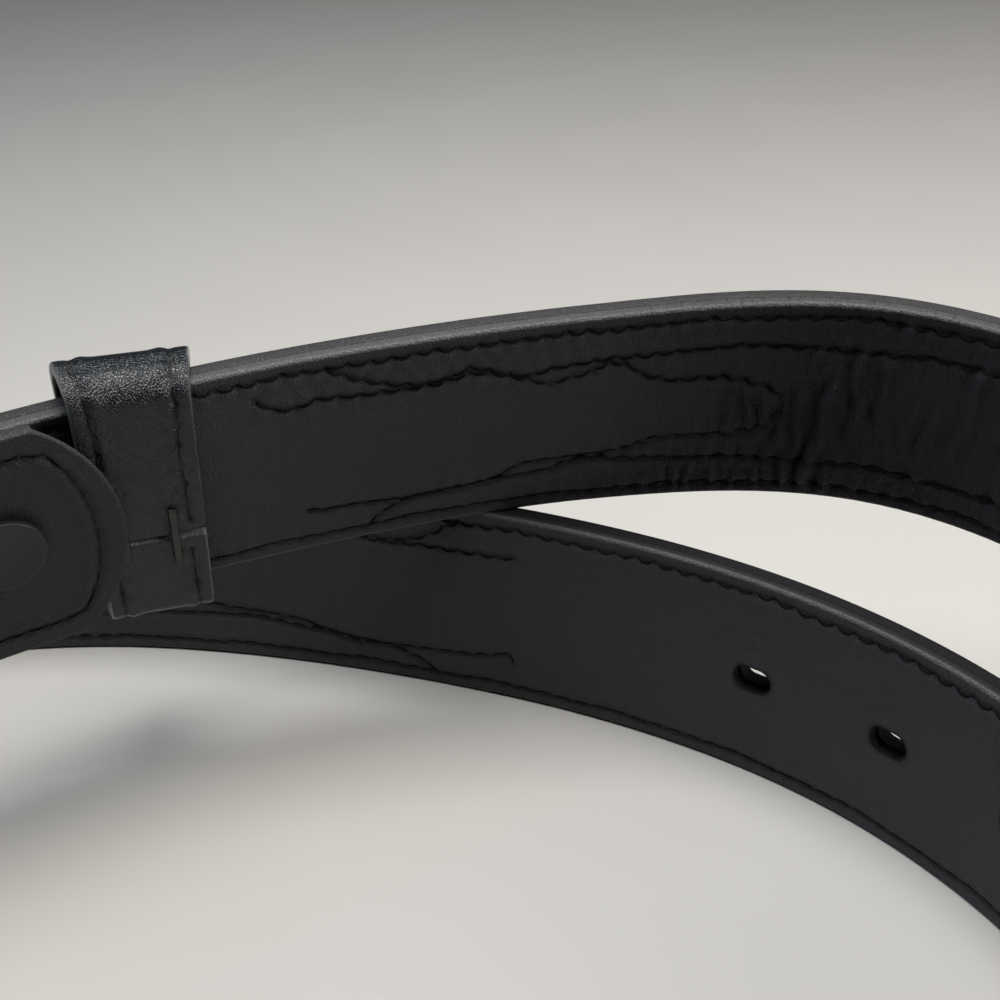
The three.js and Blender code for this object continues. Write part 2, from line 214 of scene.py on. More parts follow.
run_count = round((BELT_LENGTH - TIP_LENGTH - LINING_START) / RUN_STEP)
run_alongs = np.linspace(LINING_START, BELT_LENGTH - TIP_LENGTH, run_count + 1)
corner_places = [
    (0.0, LINING_BACK),
    (STRAP_WIDTH, LINING_BACK),
    (EDGE_BEVEL, HALF_TOTAL),
    (STRAP_WIDTH - EDGE_BEVEL, HALF_TOTAL),
    (0.0, HALF_TOTAL - EDGE_BEVEL),
    (STRAP_WIDTH, HALF_TOTAL - EDGE_BEVEL),
]
corners = np.concatenate([
    belt_space(run_alongs, np.full_like(run_alongs, across), np.full_like(run_alongs, depth))
    for across, depth in corner_places
])
lining_low, lining_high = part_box("lining")
SHIFT = np.array(lining_low) / MILLIMETRE - corners.min(0)
left_over = np.array(lining_high) / MILLIMETRE - corners.max(0) - SHIFT
print("Shift in mm:", SHIFT.round(3), "difference at the far corner:", left_over.round(3))


def to_model(points):
    return (points + SHIFT) * MILLIMETRE


# %% [markdown]
# A ply starts as a small plane, the size of the strip's cut end. Its corners are rounded by bevelling them,
# the side that becomes the finished face is subdivided, and a Screw modifier without any turn pulls the
# outline out to the whole length. That gives a long closed tube of even faces. The columns and rows are then
# moved so that they are close together where there is thread and detail, and far apart elsewhere.
# While it is worked on, the strip stands on end: x is across it, y is through it and z is along it.

# %% Helpers for flat strips
Span = namedtuple("Span", "to step")


def fine_places(start, spans):
    places = [np.array([start])]
    for span in spans:
        count = max(round((span.to - start) / span.step), 1)
        places.append(np.linspace(start, span.to, count + 1)[1:])
        start = span.to
    return np.concatenate(places)


def read_points(piece):
    flat = np.empty(len(piece.data.vertices) * 3)
    piece.data.vertices.foreach_get("co", flat)
    return flat.reshape(-1, 3)


def write_points(piece, points):
    piece.data.vertices.foreach_set("co", np.ascontiguousarray(points).ravel())
    piece.data.update()


def only(piece):
    bpy.ops.object.select_all(action="DESELECT")
    piece.select_set(True)
    bpy.context.view_layer.objects.active = piece


def turn_faces_out(piece):
    only(piece)
    bpy.ops.object.mode_set(mode="EDIT")
    bpy.ops.mesh.select_all(action="SELECT")
    bpy.ops.mesh.normals_make_consistent(inside=False)
    bpy.ops.object.mode_set(mode="OBJECT")


def apply_modifier(piece, kind, **settings):
    only(piece)
    modifier = piece.modifiers.new(kind.lower(), kind)
    for name, value in settings.items():
        setattr(modifier, name, value)
    bpy.ops.object.modifier_apply(modifier=modifier.name)


def select_points(piece, chosen):
    """Goes to edit mode with only those points selected that pass the test, and what lies between them."""
    bpy.ops.object.mode_set(mode="EDIT")
    bpy.ops.mesh.select_mode(type="VERT")
    bpy.ops.mesh.select_all(action="DESELECT")
    bpy.ops.object.mode_set(mode="OBJECT")
    for point in piece.data.vertices:
        point.select = bool(chosen(point.co))
    bpy.ops.object.mode_set(mode="EDIT")


def flat_strip(name, width, thickness, rounding, back_rounding, columns, rows):
    """A strip with its finished face at +y. Columns and rows are the places of its lines in millimetres."""
    bpy.ops.mesh.primitive_plane_add(size=1)
    strip = bpy.context.object
    strip.name = name
    bpy.ops.object.mode_set(mode="EDIT")
    bpy.ops.transform.resize(value=(width, thickness, 1))
    face = thickness / 2 - 1e-4
    select_points(strip, lambda co: co.y > face)
    bpy.ops.mesh.bevel(offset=rounding, segments=4, affect="VERTICES")
    select_points(strip, lambda co: co.y < -face)
    bpy.ops.mesh.bevel(offset=back_rounding, segments=2, affect="VERTICES")
    select_points(strip, lambda co: co.y > face)
    bpy.ops.mesh.subdivide(number_cuts=len(rows))
    bpy.ops.mesh.select_all(action="SELECT")
    bpy.ops.mesh.delete(type="ONLY_FACE")
    bpy.ops.object.mode_set(mode="OBJECT")
    length = columns[-1] - columns[0]
    count = len(columns) - 1
    screw = {"axis": "Z", "angle": 0.0, "screw_offset": length, "steps": count, "render_steps": count}
    apply_modifier(strip, "SCREW", use_merge_vertices=False, **screw)
    bpy.ops.object.mode_set(mode="EDIT")
    bpy.ops.mesh.select_all(action="DESELECT")
    bpy.ops.mesh.select_non_manifold()
    bpy.ops.mesh.fill_holes(sides=0)
    bpy.ops.object.mode_set(mode="OBJECT")
    turn_faces_out(strip)
    points = read_points(strip)
    column = np.rint(points[:, 2] / length * count).astype(int)
    points[:, 2] = columns[np.clip(column, 0, count)]
    inner = width / 2 - rounding
    even = np.linspace(-inner, inner, len(rows) + 2)
    wanted = np.concatenate([[-inner], rows, [inner]])
    on_face = (points[:, 1] > face) & (np.abs(points[:, 0]) < inner)
    points[on_face, 0] = np.interp(points[on_face, 0], even, wanted)
    write_points(strip, points)
    print(name, "flat:", len(strip.data.polygons), "faces")
    return strip


# %% [markdown]
# The thread runs in lines. Two of them follow the edges for the whole length. The fancy pattern is a second
# line that swings away from its start, and a looped line that leaves the edge, crosses it and closes in a
# long tongue. The machine was steered by hand, so the upper and lower halves differ a little. The same
# pattern comes back, turned round, at the tip's end. Each place is along from the bar and up from the edge.

# %% Lines of thread
STITCH_PITCH = 3.6
EDGE_INSET = 2.4
PATTERN_TURN = 1054.0

TONGUE_HIGH = [
    (105.3, 35.9), (108.1, 34.2), (111.3, 32.1), (115.1, 30.7), (120.0, 29.9),
    (124.8, 30.2), (129.2, 31.7), (131.2, 31.1), (134.6, 29.4), (138.5, 27.5),
    (142.4, 26.5), (146.0, 27.5), (149.6, 28.3), (153.6, 30.1), (156.0, 28.1),
    (158.4, 26.2), (161.7, 24.7), (166.0, 24.3), (169.2, 25.0), (172.5, 24.6),
    (176.0, 23.6), (179.3, 22.6), (181.5, 20.9), (182.2, 18.5),
]
TONGUE_LOW = [
    (182.2, 18.5), (180.9, 16.3), (178.7, 14.4), (174.0, 13.0), (166.0, 12.7),
    (160.0, 12.6), (156.0, 11.2), (149.6, 10.4), (142.3, 10.1), (136.0, 9.6),
    (132.0, 7.7), (124.8, 6.8), (120.7, 6.8), (117.1, 6.2), (111.9, 3.9),
    (109.6, 1.6),
]
SECOND_HIGH = [
    (93.5, 32.1), (96.2, 30.1), (99.0, 29.4), (103.0, 30.1), (107.2, 29.7),
    (116.0, 29.5), (124.3, 29.7), (129.7, 30.3), (134.6, 29.3), (138.5, 28.5),
    (143.8, 29.6), (154.0, 29.9), (173.7, 30.4), (199.0, 29.8), (208.0, 30.7),
    (260.0, 30.3),
]
SECOND_LOW = [
    (100.3, 7.9), (100.9, 6.5), (104.0, 7.6), (112.6, 7.0), (123.8, 6.4),
    (128.0, 6.7), (132.0, 7.4), (137.2, 7.8), (141.0, 8.2), (146.0, 9.2),
    (153.6, 8.8), (173.2, 7.8), (200.0, 7.2), (260.0, 7.8),
]
LAST_HIGH = [(951.0, 29.9), (955.5, 30.0), (959.1, 30.6)]
LAST_LOW = [(950.0, 7.6), (955.0, 8.6), (959.2, 9.4), (958.7, 7.4)]


def smooth_line(places):
    """A curve through the places, in steps of about a tenth of their distance."""
    points = np.array(places)
    padded = np.concatenate([points[:1], points, points[-1:]])
    t = np.linspace(0, 1, 10, endpoint=False)[:, None]
    parts = []
    for a, b, c, d in zip(padded, padded[1:], padded[2:], padded[3:]):
        bend = 2 * b + (c - a) * t + (2 * a - 5 * b + 4 * c - d) * t ** 2 + (3 * b - a - 3 * c + d) * t ** 3
        parts.append(bend / 2)
    return np.concatenate(parts + [points[-1:]])


def needle_holes(line, pitch):
    steps = np.linalg.norm(np.diff(line, axis=0), axis=1)
    run = np.concatenate([[0], np.cumsum(steps)])
    count = max(round(run[-1] / pitch), 1)
    places = np.linspace(0, run[-1], count + 1)
    return np.stack([np.interp(places, run, line[:, k]) for k in (0, 1)], axis=1)


def wander(places, seed):
    """Small even drifts to both sides, as a line has that is guided by hand."""
    along = places[:, 0]
    drift = 0.16 * np.sin(along / 3.7 + seed) + 0.12 * np.sin(along / 1.9 + 2.3 * seed)
    return places + np.stack([np.zeros_like(along), drift], axis=1)


def turned(places):
    return np.stack([PATTERN_TURN - places[:, 0], places[:, 1]], axis=1)[::-1]


def belt_seams(start, end):
    """All lines of the belt as needle holes, places along and across."""
    high = STRAP_WIDTH - EDGE_INSET
    lines = [np.array([(start, high), (end, high)]), np.array([(start, EDGE_INSET), (end, EDGE_INSET)])]
    tongue = np.concatenate([smooth_line(TONGUE_HIGH), smooth_line(TONGUE_LOW)[1:]])
    lines += [tongue, turned(tongue)]
    for first, last in ((SECOND_HIGH, LAST_HIGH), (SECOND_LOW, LAST_LOW)):
        back = [(PATTERN_TURN - along, across) for along, across in reversed(first)]
        back = [place for place in back if place[0] < last[0][0] - 1]
        lines.append(np.concatenate([smooth_line(first), smooth_line(back + last)]))
    return [wander(needle_holes(line, STITCH_PITCH), number) for number, line in enumerate(lines)]


SEAM_END = BELT_LENGTH - 14.0
LINING_SEAMS = belt_seams(LINING_START + 3, SEAM_END)
print("Needle holes in the lining:", sum(len(seam) for seam in LINING_SEAMS))

# %% [markdown]
# Thread pulls leather in. Along each line the leather sinks a little, it sinks more at each needle hole, and
# it swells up beside the middle of each stitch. The lining is also on the inside of the bend, so it is
# pushed together and has creases across it where the belt turns most. Each crease is a row of the table:
# where its ends are, and how high it stands.

# %% Relief of the leather
BED_DEPTH = 0.2
BED_WIDTH = 0.5
HOLE_DEPTH = 0.35
PUCKER_HEIGHT = 0.24
PUCKER_AWAY = 1.4
PUCKER_WIDTH = 0.9
NEEDLE_REACH = 0.55
CREASE_SCALE = 1.25
CREASE_WANDER = 0.45

Crease = namedtuple("Crease", "top_along top low_along low height width")
CREASES = [
    Crease(190.6, 25.5, 185.3, 1.5, 1.00, 0.8),
    Crease(193.8, 30.0, 193.4, 10.5, 0.85, 0.8),
    Crease(197.7, 28.5, 197.6, 15.0, 0.75, 0.8),
    Crease(185.2, 22.5, 184.1, 8.5, 0.70, 0.7),
    Crease(173.6, 22.8, 173.0, 13.4, 0.55, 0.6),
    Crease(176.3, 22.0, 176.0, 13.5, 0.65, 0.6),
    Crease(179.2, 21.0, 179.2, 14.4, 0.60, 0.6),
    Crease(182.2, 17.5, 181.3, 10.5, 0.60, 0.6),
    Crease(170.3, 7.2, 169.6, 1.0, 0.38, 0.6),
    Crease(166.7, 7.2, 165.7, 1.0, 0.36, 0.6),
    Crease(163.4, 6.9, 162.9, 1.0, 0.32, 0.6),
    Crease(174.4, 6.9, 173.6, 1.0, 0.36, 0.6),
    Crease(178.3, 6.9, 177.7, 1.0, 0.42, 0.6),
    Crease(182.3, 7.0, 181.5, 1.0, 0.38, 0.6),
    Crease(189.5, 7.0, 188.6, 1.0, 0.38, 0.7),
    Crease(200.4, 36.5, 199.0, 30.0, 0.42, 0.8),
    Crease(187.4, 30.0, 186.7, 24.0, 0.55, 0.6),
    Crease(206.0, 24.0, 204.0, 4.0, 0.50, 0.9),
    Crease(212.0, 33.0, 210.0, 12.0, 0.50, 1.0),
    Crease(219.0, 30.0, 218.0, 3.0, 0.45, 1.0),
    Crease(228.0, 34.0, 226.0, 10.0, 0.40, 1.1),
]


print("Creases:", len(CREASES), "the highest in mm:", CREASE_SCALE * max(one.height for one in CREASES))


def seam_tree(seams):
    """A search tree of fine points on all lines, each with its share of the way between two needle holes."""
    fine = []
    shares = np.linspace(0, 1, 9, endpoint=False)[:, None]
    for holes in seams:
        for a, b in zip(holes, holes[1:]):
            fine.append(np.concatenate([a + (b - a) * shares, shares], axis=1))
    fine = np.concatenate(fine)
    tree = KDTree(len(fine))
    for i, (along, across, _) in enumerate(fine):
        tree.insert((along, across, 0), i)
    tree.balance()
    return tree, fine[:, 2]


def seam_relief(along, across, seams, aside, last_line):
    """Height of the leather beside the thread, and how near the thread is, from 0 to 1.

    The leather doesn't swell outside the last line, whose distance aside from the middle is given.
    """
    tree, shares = seam_tree(seams)
    found = [tree.find((a, c, 0)) for a, c in zip(along, across)]
    share = shares[[one[1] for one in found]]
    away = np.array([one[2] for one in found])
    at_hole = np.exp(-((np.minimum(share, 1 - share) * STITCH_PITCH) / NEEDLE_REACH) ** 2)
    bed = np.exp(-(away / BED_WIDTH) ** 2)
    swell = np.sin(math.pi * share) ** 2 * np.exp(-((away - PUCKER_AWAY) / PUCKER_WIDTH) ** 2)
    swell = swell * np.clip((last_line + 0.3 - aside) / 0.6, 0.1, 1)
    sink = (BED_DEPTH + HOLE_DEPTH * at_hole) * bed
    return PUCKER_HEIGHT * swell - sink, bed * (0.55 + 0.4 * at_hole)


def crease_relief(along, across):
    height = np.zeros_like(along)
    for crease in CREASES:
        t = (across - crease.low) / (crease.top - crease.low)
        line = crease.low_along + (crease.top_along - crease.low_along) * t
        line = line + CREASE_WANDER * np.sin(across / 2.1 + crease.top_along)
        fade = np.clip(np.minimum(t, 1 - t) * 4 + 0.25, 0, 1)
        fade = np.where((t < -0.06) | (t > 1.06), 0, fade)
        side = (along - line) / crease.width
        ridge_and_ditch = np.exp(-side ** 2) - 0.6 * np.exp(-(side + 1.6) ** 2)
        height += CREASE_SCALE * crease.height * fade * ridge_and_ditch
    return height


# How high the small folds stand along the belt, and what share of that they have across it.
GATHER_ALONGS = (84.0, 130.0, 152.0, 164.0, 180.0, 205.0, 245.0, 330.0, 880.0, 1090.0)
GATHER_HEIGHTS = (0.03, 0.05, 0.16, 0.4, 0.62, 0.6, 0.4, 0.1, 0.02, 0.02)
GATHER_ROWS = (0.0, 3.0, 9.0, 24.0, 30.0, STRAP_WIDTH)
GATHER_SHARES = (0.55, 0.8, 0.95, 0.8, 0.4, 0.3)


def gathered(along):
    return np.interp(along, GATHER_ALONGS, GATHER_HEIGHTS)


def gather_relief(along, across):
    """Small folds across the lining, about one for each stitch, where the belt turns most."""
    turn = (along + 0.1 * (MIDDLE - across)) / STITCH_PITCH
    turn = turn + 0.3 * np.sin(across / 3.1 + along / 7.3) + 0.18 * np.sin(along / 2.3 + across / 1.7)
    folds = np.abs(np.sin(math.pi * turn)) - 0.6
    patches = 0.55 + 0.45 * np.sin(along / 5.7 + across / 4.3) * np.sin(across / 6.1 - along / 9.7)
    return gathered(along) * folds * patches * np.interp(across, GATHER_ROWS, GATHER_SHARES)


WIDE_WAVE = 0.06
FINE_WAVE = 0.02


def soft_waves(along, across):
    """The slow unevenness of a strip of hide."""
    wide = np.sin(along / 9.1 + 1.7 * np.sin(across / 8.3)) * np.sin(across / 6.7 + along / 31.0)
    fine = np.sin(along / 3.3 + np.sin(across / 2.9)) * np.sin(across / 2.7 + along / 5.3)
    return WIDE_WAVE * wide + FINE_WAVE * fine


# %% [markdown]
# The holes for the buckle's prong are punched while the strip is flat. A punch is a short cylinder, pulled
# apart into an oblong, and a Boolean modifier takes it away from the strip. The leather round a used hole
# is a little raised, and the prong's end leaves faint rings above it.

# %% Punched holes
HOLE_COUNT = 5
HOLE_PITCH = 25.4
TIP_TO_HOLE = 95.0
HOLE_LENGTH = 6.8
HOLE_HEIGHT = 4.6
HOLE_REACH = (HOLE_LENGTH - HOLE_HEIGHT) / 2
PUNCH_DEPTH = 8.0
LIP_HEIGHT = 0.05
LIP_WIDTH = 0.7
RING_RADII = (6.4, 9.4)
RING_WIDTH = 0.7
RING_DEPTH = 0.06
HOLE_ALONGS = [BELT_LENGTH - TIP_TO_HOLE - i * HOLE_PITCH for i in range(HOLE_COUNT)]
print("Holes in mm from the bar:", [round(along, 1) for along in HOLE_ALONGS])


def oblong_cutter(along, length, height):
    """A round-ended bar through the strip, longer along the belt."""
    stand = {"location": (0, 0, along), "rotation": (math.radians(90), 0, 0)}
    size = {"vertices": 32, "radius": height / 2, "depth": PUNCH_DEPTH}
    bpy.ops.mesh.primitive_cylinder_add(**size, **stand)
    cutter = bpy.context.object
    bpy.ops.object.transform_apply(location=True, rotation=True, scale=True)
    points = read_points(cutter)
    points[:, 2] += np.sign(np.round(points[:, 2] - along, 3)) * (length - height) / 2
    write_points(cutter, points)
    return cutter


def punch(strip, cutters):
    """Takes the cutters, joined into one tool, away from the strip."""
    tool = cutters[0]
    only(tool)
    for cutter in cutters[1:]:
        cutter.select_set(True)
    if len(cutters) > 1:
        bpy.ops.object.join()
    apply_modifier(strip, "BOOLEAN", operation="DIFFERENCE", solver="EXACT", object=tool)
    bpy.data.objects.remove(tool)


def prong_rings(along, across, place):
    """Two faint arcs above a hole, where the prong's end has rubbed."""
    away = np.hypot(along - place, across - MIDDLE)
    above = np.clip((across - MIDDLE - 2) / 4.0, 0, 1) * np.clip((place + 4.5 - along) / 4.0, 0, 1)
    inner, outer = (np.exp(-((away - radius) / RING_WIDTH) ** 2) for radius in RING_RADII)
    return (inner + 0.7 * outer) * above


def from_hole(along, across, place):
    """Distance from the rounded ends' centres or from the line between them."""
    off = np.maximum(np.abs(along - place) - HOLE_REACH, 0)
    return np.hypot(off, across - MIDDLE)


def near_hole(along, across):
    """How near a punched hole is, from 0 to 1. Its own wall is at 1 and gets a painted shade, the prong's
    rings a little wear.
    """
    near = np.zeros_like(along)
    for place in HOLE_ALONGS:
        away = from_hole(along, across, place) - HOLE_HEIGHT / 2
        near = np.maximum(near, np.clip(1.15 - away / 0.55, 0, 1))
        near = np.maximum(near, 0.22 * prong_rings(along, across, place))
    return near


def hole_relief(along, across):
    height = np.zeros_like(along)
    for place in HOLE_ALONGS:
        away = from_hole(along, across, place)
        lip = np.exp(-((away - HOLE_HEIGHT / 2 - 0.5) / LIP_WIDTH) ** 2)
        height += LIP_HEIGHT * lip - RING_DEPTH * prong_rings(along, across, place)
    return height


# %% [markdown]
# The tip is cut to a rounded point. Towards the end the strip's width shrinks as an ellipse does, and the
# last bit of it is thinned so that its edge is rounded too.

# %% Tip
def tip_half(along):
    t = np.clip((along - (BELT_LENGTH - TIP_LENGTH)) / TIP_LENGTH, 0, 1)
    end = TIP_END_WIDTH / 2
    return end + (MIDDLE - end) * np.sqrt(1 - t * t)


def thin_at(distance, rounding):
    """Share of the thickness that is left at a distance from a rounded end."""
    t = np.clip(1 - distance / rounding, 0, 1)
    return 0.35 + 0.65 * np.sqrt(1 - t * t)


# %% [markdown]
# The lining is the ply that the camera sees most of. It runs from beside the bar to the tip, and its face
# is turned into the coil. The imported plies have a small gap between them. The real ones are glued, so
# here each of them grows by half the gap. The fine lines of the mesh are spent on the two stretches in view,
# at each end. Besides its shape it gets a few values for its finish: how much painted shade the thread's beds
# and the holes get, how pale a cut edge is, with a painted highlight on its rounded rim, how much the leather
# is folded, which brings wrinkles and a painted shade, and where along and across the belt a point lies.

# %% Lining
PLY_JOIN = PLY_GAP / 2 - 0.01
RELIEF_SPANS = [Span(80.0, 2.0), Span(235.0, 0.55), Span(330.0, 1.0), Span(880.0, 2.2), Span(965.0, 0.6)]
RELIEF_SPANS += [Span(1110.0, 0.8), Span(1174.0, 1.6), Span(1199.0, 0.8), Span(1200.0, 0.25)]
FACE_HALF = 18.2
ROW_SPANS = [Span(-14.8, 0.42), Span(-12.6, 0.7), Span(-9.6, 0.5), Span(-3.0, 0.8), Span(3.0, 1.1)]
ROW_SPANS += [Span(9.6, 0.8), Span(12.6, 0.5), Span(14.8, 0.7), Span(FACE_HALF, 0.42)]
LINING_ROUNDING = 0.7
BACK_ROUNDING = 0.12
TIP_ROUNDING = 0.8


def add_value(piece, name, values):
    """Keeps one number for each vertex on the piece, for its material to read."""
    attribute = piece.data.attributes.new(name, "FLOAT", "POINT")
    attribute.data.foreach_set("value", values.astype(np.float32))


def finish_piece(piece, node=None, angle=40):
    """Smooths the faces that meet at less than the angle, hides the imported node that the piece dresses, and
    parents the piece to the root body.
    """
    only(piece)
    bpy.ops.object.shade_smooth_by_angle(angle=math.radians(angle))
    if node:
        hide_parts(node)
    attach(piece, "root")
    print(piece.name, "done:", len(piece.data.polygons), "faces")


# The cut edges are paler at the buckle's end and darker toward the tip. The change is spread over this
# stretch.
TIP_CHANGE_FROM = 450.0
TIP_CHANGE_TO = 750.0


def toward_tip(along):
    return np.clip((along - TIP_CHANGE_FROM) / (TIP_CHANGE_TO - TIP_CHANGE_FROM), 0, 1)


def make_lining():
    columns = fine_places(LINING_START, RELIEF_SPANS)
    rows = fine_places(-FACE_HALF, ROW_SPANS)
    thickness = LINING_PLY + PLY_JOIN
    lining = flat_strip(
        "lining_leather", STRAP_WIDTH, thickness, LINING_ROUNDING, BACK_ROUNDING, columns, rows
    )
    cutters = [oblong_cutter(along, HOLE_LENGTH, HOLE_HEIGHT) for along in HOLE_ALONGS]
    punch(lining, cutters)
    x, y, z = read_points(lining).T
    relief, near_thread = seam_relief(z, MIDDLE + x, LINING_SEAMS, np.abs(x), MIDDLE - EDGE_INSET)
    tight = 1.0 - 0.15 * toward_tip(z)
    relief, near_thread = relief * tight, near_thread * tight
    relief += crease_relief(z, MIDDLE + x) + gather_relief(z, MIDDLE + x)
    relief += hole_relief(z, MIDDLE + x) + soft_waves(z, MIDDLE + x)
    upward = np.clip(y / thickness + 0.5, 0, 1) ** 2
    inside = np.clip((MIDDLE - np.abs(x)) / 0.8, 0, 1)
    through = y * thin_at(BELT_LENGTH - z, TIP_ROUNDING) + relief * upward * inside
    across = MIDDLE + x * tip_half(z) / MIDDLE
    depth = HALF_TOTAL - thickness / 2 + through
    write_points(lining, to_model(belt_space(z, across, depth)))
    at_edge = np.clip((np.abs(x) - MIDDLE + LINING_ROUNDING) / 0.4, 0, 1)
    rim = np.clip((y - thickness / 2 + 0.75) / 0.3, 0, 1)
    # painted shade in the thread's beds and on the hole walls; the cut edges below the rim also darken toward
    # the tip
    dark = np.maximum(near_thread * upward, near_hole(z, MIDDLE + x))
    add_value(lining, "near_thread", np.maximum(dark, 0.8 * at_edge * (1 - rim) * toward_tip(z)))
    # Cut edges show pale fibre, and the rounded rim at the face is paler still, a painted highlight. Toward
    # the tip the fibre's paleness goes and the rim keeps part of its painted highlight.
    pale_part, pale_part_at_tip = 0.35 + 0.65 * rim, 0.6 * rim
    add_value(lining, "cut_edge", at_edge * (pale_part + (pale_part_at_tip - pale_part) * toward_tip(z)))
    # The finish reads this for the wrinkles' relief and for a painted shade in the folds.
    add_value(lining, "folded", gathered(z) * 1.6)
    add_value(lining, "belt_along", z)
    add_value(lining, "belt_across", x)
    finish_piece(lining, "lining")
    return lining


lining = make_lining()

# %% [markdown]
# The outer ply is made in the same way, but it is longer. After the bar it turns round and comes back along
# the inside as the tab. Its place along the strip is therefore measured on the strip itself: positive on
# the belt, then round the fold, then on along the tab. The prong's slot is punched across the fold.
# The tab's end is an arc, cut a little askew, and its sides spread as the free end stands away.

# %% Outer ply sizes
TAB_LENGTH = 70.0
TAB_SPREAD = 1.35
TAB_RISE = 1.5
TAB_SLANT = math.tan(math.radians(-3))
TAB_ROUND = 10.5
SLOT_LENGTH = 14.0
SLOT_WIDTH = 8.0
KEEPER_FRONT_PLAY = 1.0
KEEPER_WALL = 2.1
STAPLE_SIDE = 0.1
STAPLE_THICKNESS = 0.6

OUTER_DEPTH = -HALF_TOTAL + OUTER_PLY / 2
TAB_STAND_OFF = KEEPER_FRONT_PLAY + KEEPER_WALL + STAPLE_SIDE + STAPLE_THICKNESS + FIT_GAP
TAB_DEPTH = HALF_TOTAL + TAB_STAND_OFF + OUTER_PLY / 2
FOLD_RADIUS = (TAB_DEPTH - OUTER_DEPTH) / 2
FOLD_DEPTH = (TAB_DEPTH + OUTER_DEPTH) / 2
FOLD_LENGTH = math.pi * FOLD_RADIUS
TAB_HALF = MIDDLE + TAB_SPREAD
TAB_RADIUS = (TAB_HALF ** 2 + TAB_ROUND ** 2) / (2 * TAB_ROUND)
TAB_CORNER = TAB_LENGTH - TAB_ROUND
TAB_BEND_START = 30.0
print("Tab face from mid thickness in mm:", round(TAB_DEPTH + OUTER_PLY / 2, 2))


def lay_outer(x, y, z):
    """Strip places of the outer ply to belt places: the belt, the fold and the tab."""
    angle = np.clip(-z / FOLD_RADIUS, 0, math.pi)
    on_tab = np.maximum(-z - FOLD_LENGTH, 0)
    share = np.clip(on_tab / TAB_CORNER, 0, 1)
    side = x * (1 + TAB_SPREAD / MIDDLE * share)
    across = MIDDLE + np.where(z > 0, x * tip_half(z) / MIDDLE, side) + TAB_RISE * share
    sag = TAB_RADIUS - np.sqrt(TAB_RADIUS ** 2 - np.minimum(np.abs(side), TAB_HALF) ** 2)
    draw = np.clip((on_tab - TAB_BEND_START) / (TAB_LENGTH - TAB_BEND_START), 0, 1)
    tab_along = on_tab - draw * sag + TAB_SLANT * share * (across - MIDDLE)
    along = np.where(z > 0, z, tab_along) - (FOLD_RADIUS + y) * np.sin(angle)
    depth = FOLD_DEPTH - (FOLD_RADIUS + y) * np.cos(angle)
    return along, across, depth


# %% Seams of the outer ply
TAB_SIDE_INSET = 3.6
TAB_END_INSET = 4.6
TAB_SEAM_START = 18.0


def tab_seam():
    """One line round the tab, in strip places."""
    side = MIDDLE - TAB_SIDE_INSET
    start = -(FOLD_LENGTH + TAB_SEAM_START)
    end = -(FOLD_LENGTH + TAB_LENGTH - TAB_END_INSET)
    soft = 2.2
    line = [(start, side), (end + soft, side), (end + 0.4, side - 0.6), (end, side - soft)]
    line += [(end, 0.0), (end, soft - side), (end + 0.4, 0.6 - side), (end + soft, -side), (start, -side)]
    return needle_holes(np.array(line), STITCH_PITCH)


OUTER_SEAMS = belt_seams(4.0, SEAM_END) + [tab_seam() + np.array([0, MIDDLE])]
print("Needle holes in the outer ply:", sum(len(seam) for seam in OUTER_SEAMS))

# %% Outer ply
OUTER_SPANS = [Span(-FOLD_LENGTH - 66.0, 0.5), Span(-FOLD_LENGTH - 14.0, 0.8)]
OUTER_SPANS += [Span(0.0, 1.0), Span(80.0, 2.0)]
OUTER_SPANS += [Span(230.0, 0.9), Span(860.0, 2.2), Span(970.0, 0.9), Span(1110.0, 1.2), Span(1174.0, 1.6)]
OUTER_SPANS += [Span(1199.0, 0.8), Span(1200.0, 0.25)]
OUTER_ROUNDING = 0.5
HOLE_MARGIN = 0.45
SWELL = 0.35
SNAP_ALONG = 50.4
SNAP_RISE = 2.0
SNAP_RADIUS = 6.2
SNAP_HEIGHT = 1.2
SNAP_MOAT = 0.35


def snap_moat(along, across):
    """The leather is pressed in round the snap's rim."""
    away = np.hypot(along - SNAP_ALONG, across - MIDDLE - SNAP_RISE)
    return -SNAP_MOAT * np.exp(-((away - SNAP_RADIUS - 0.2) / 0.4) ** 2)


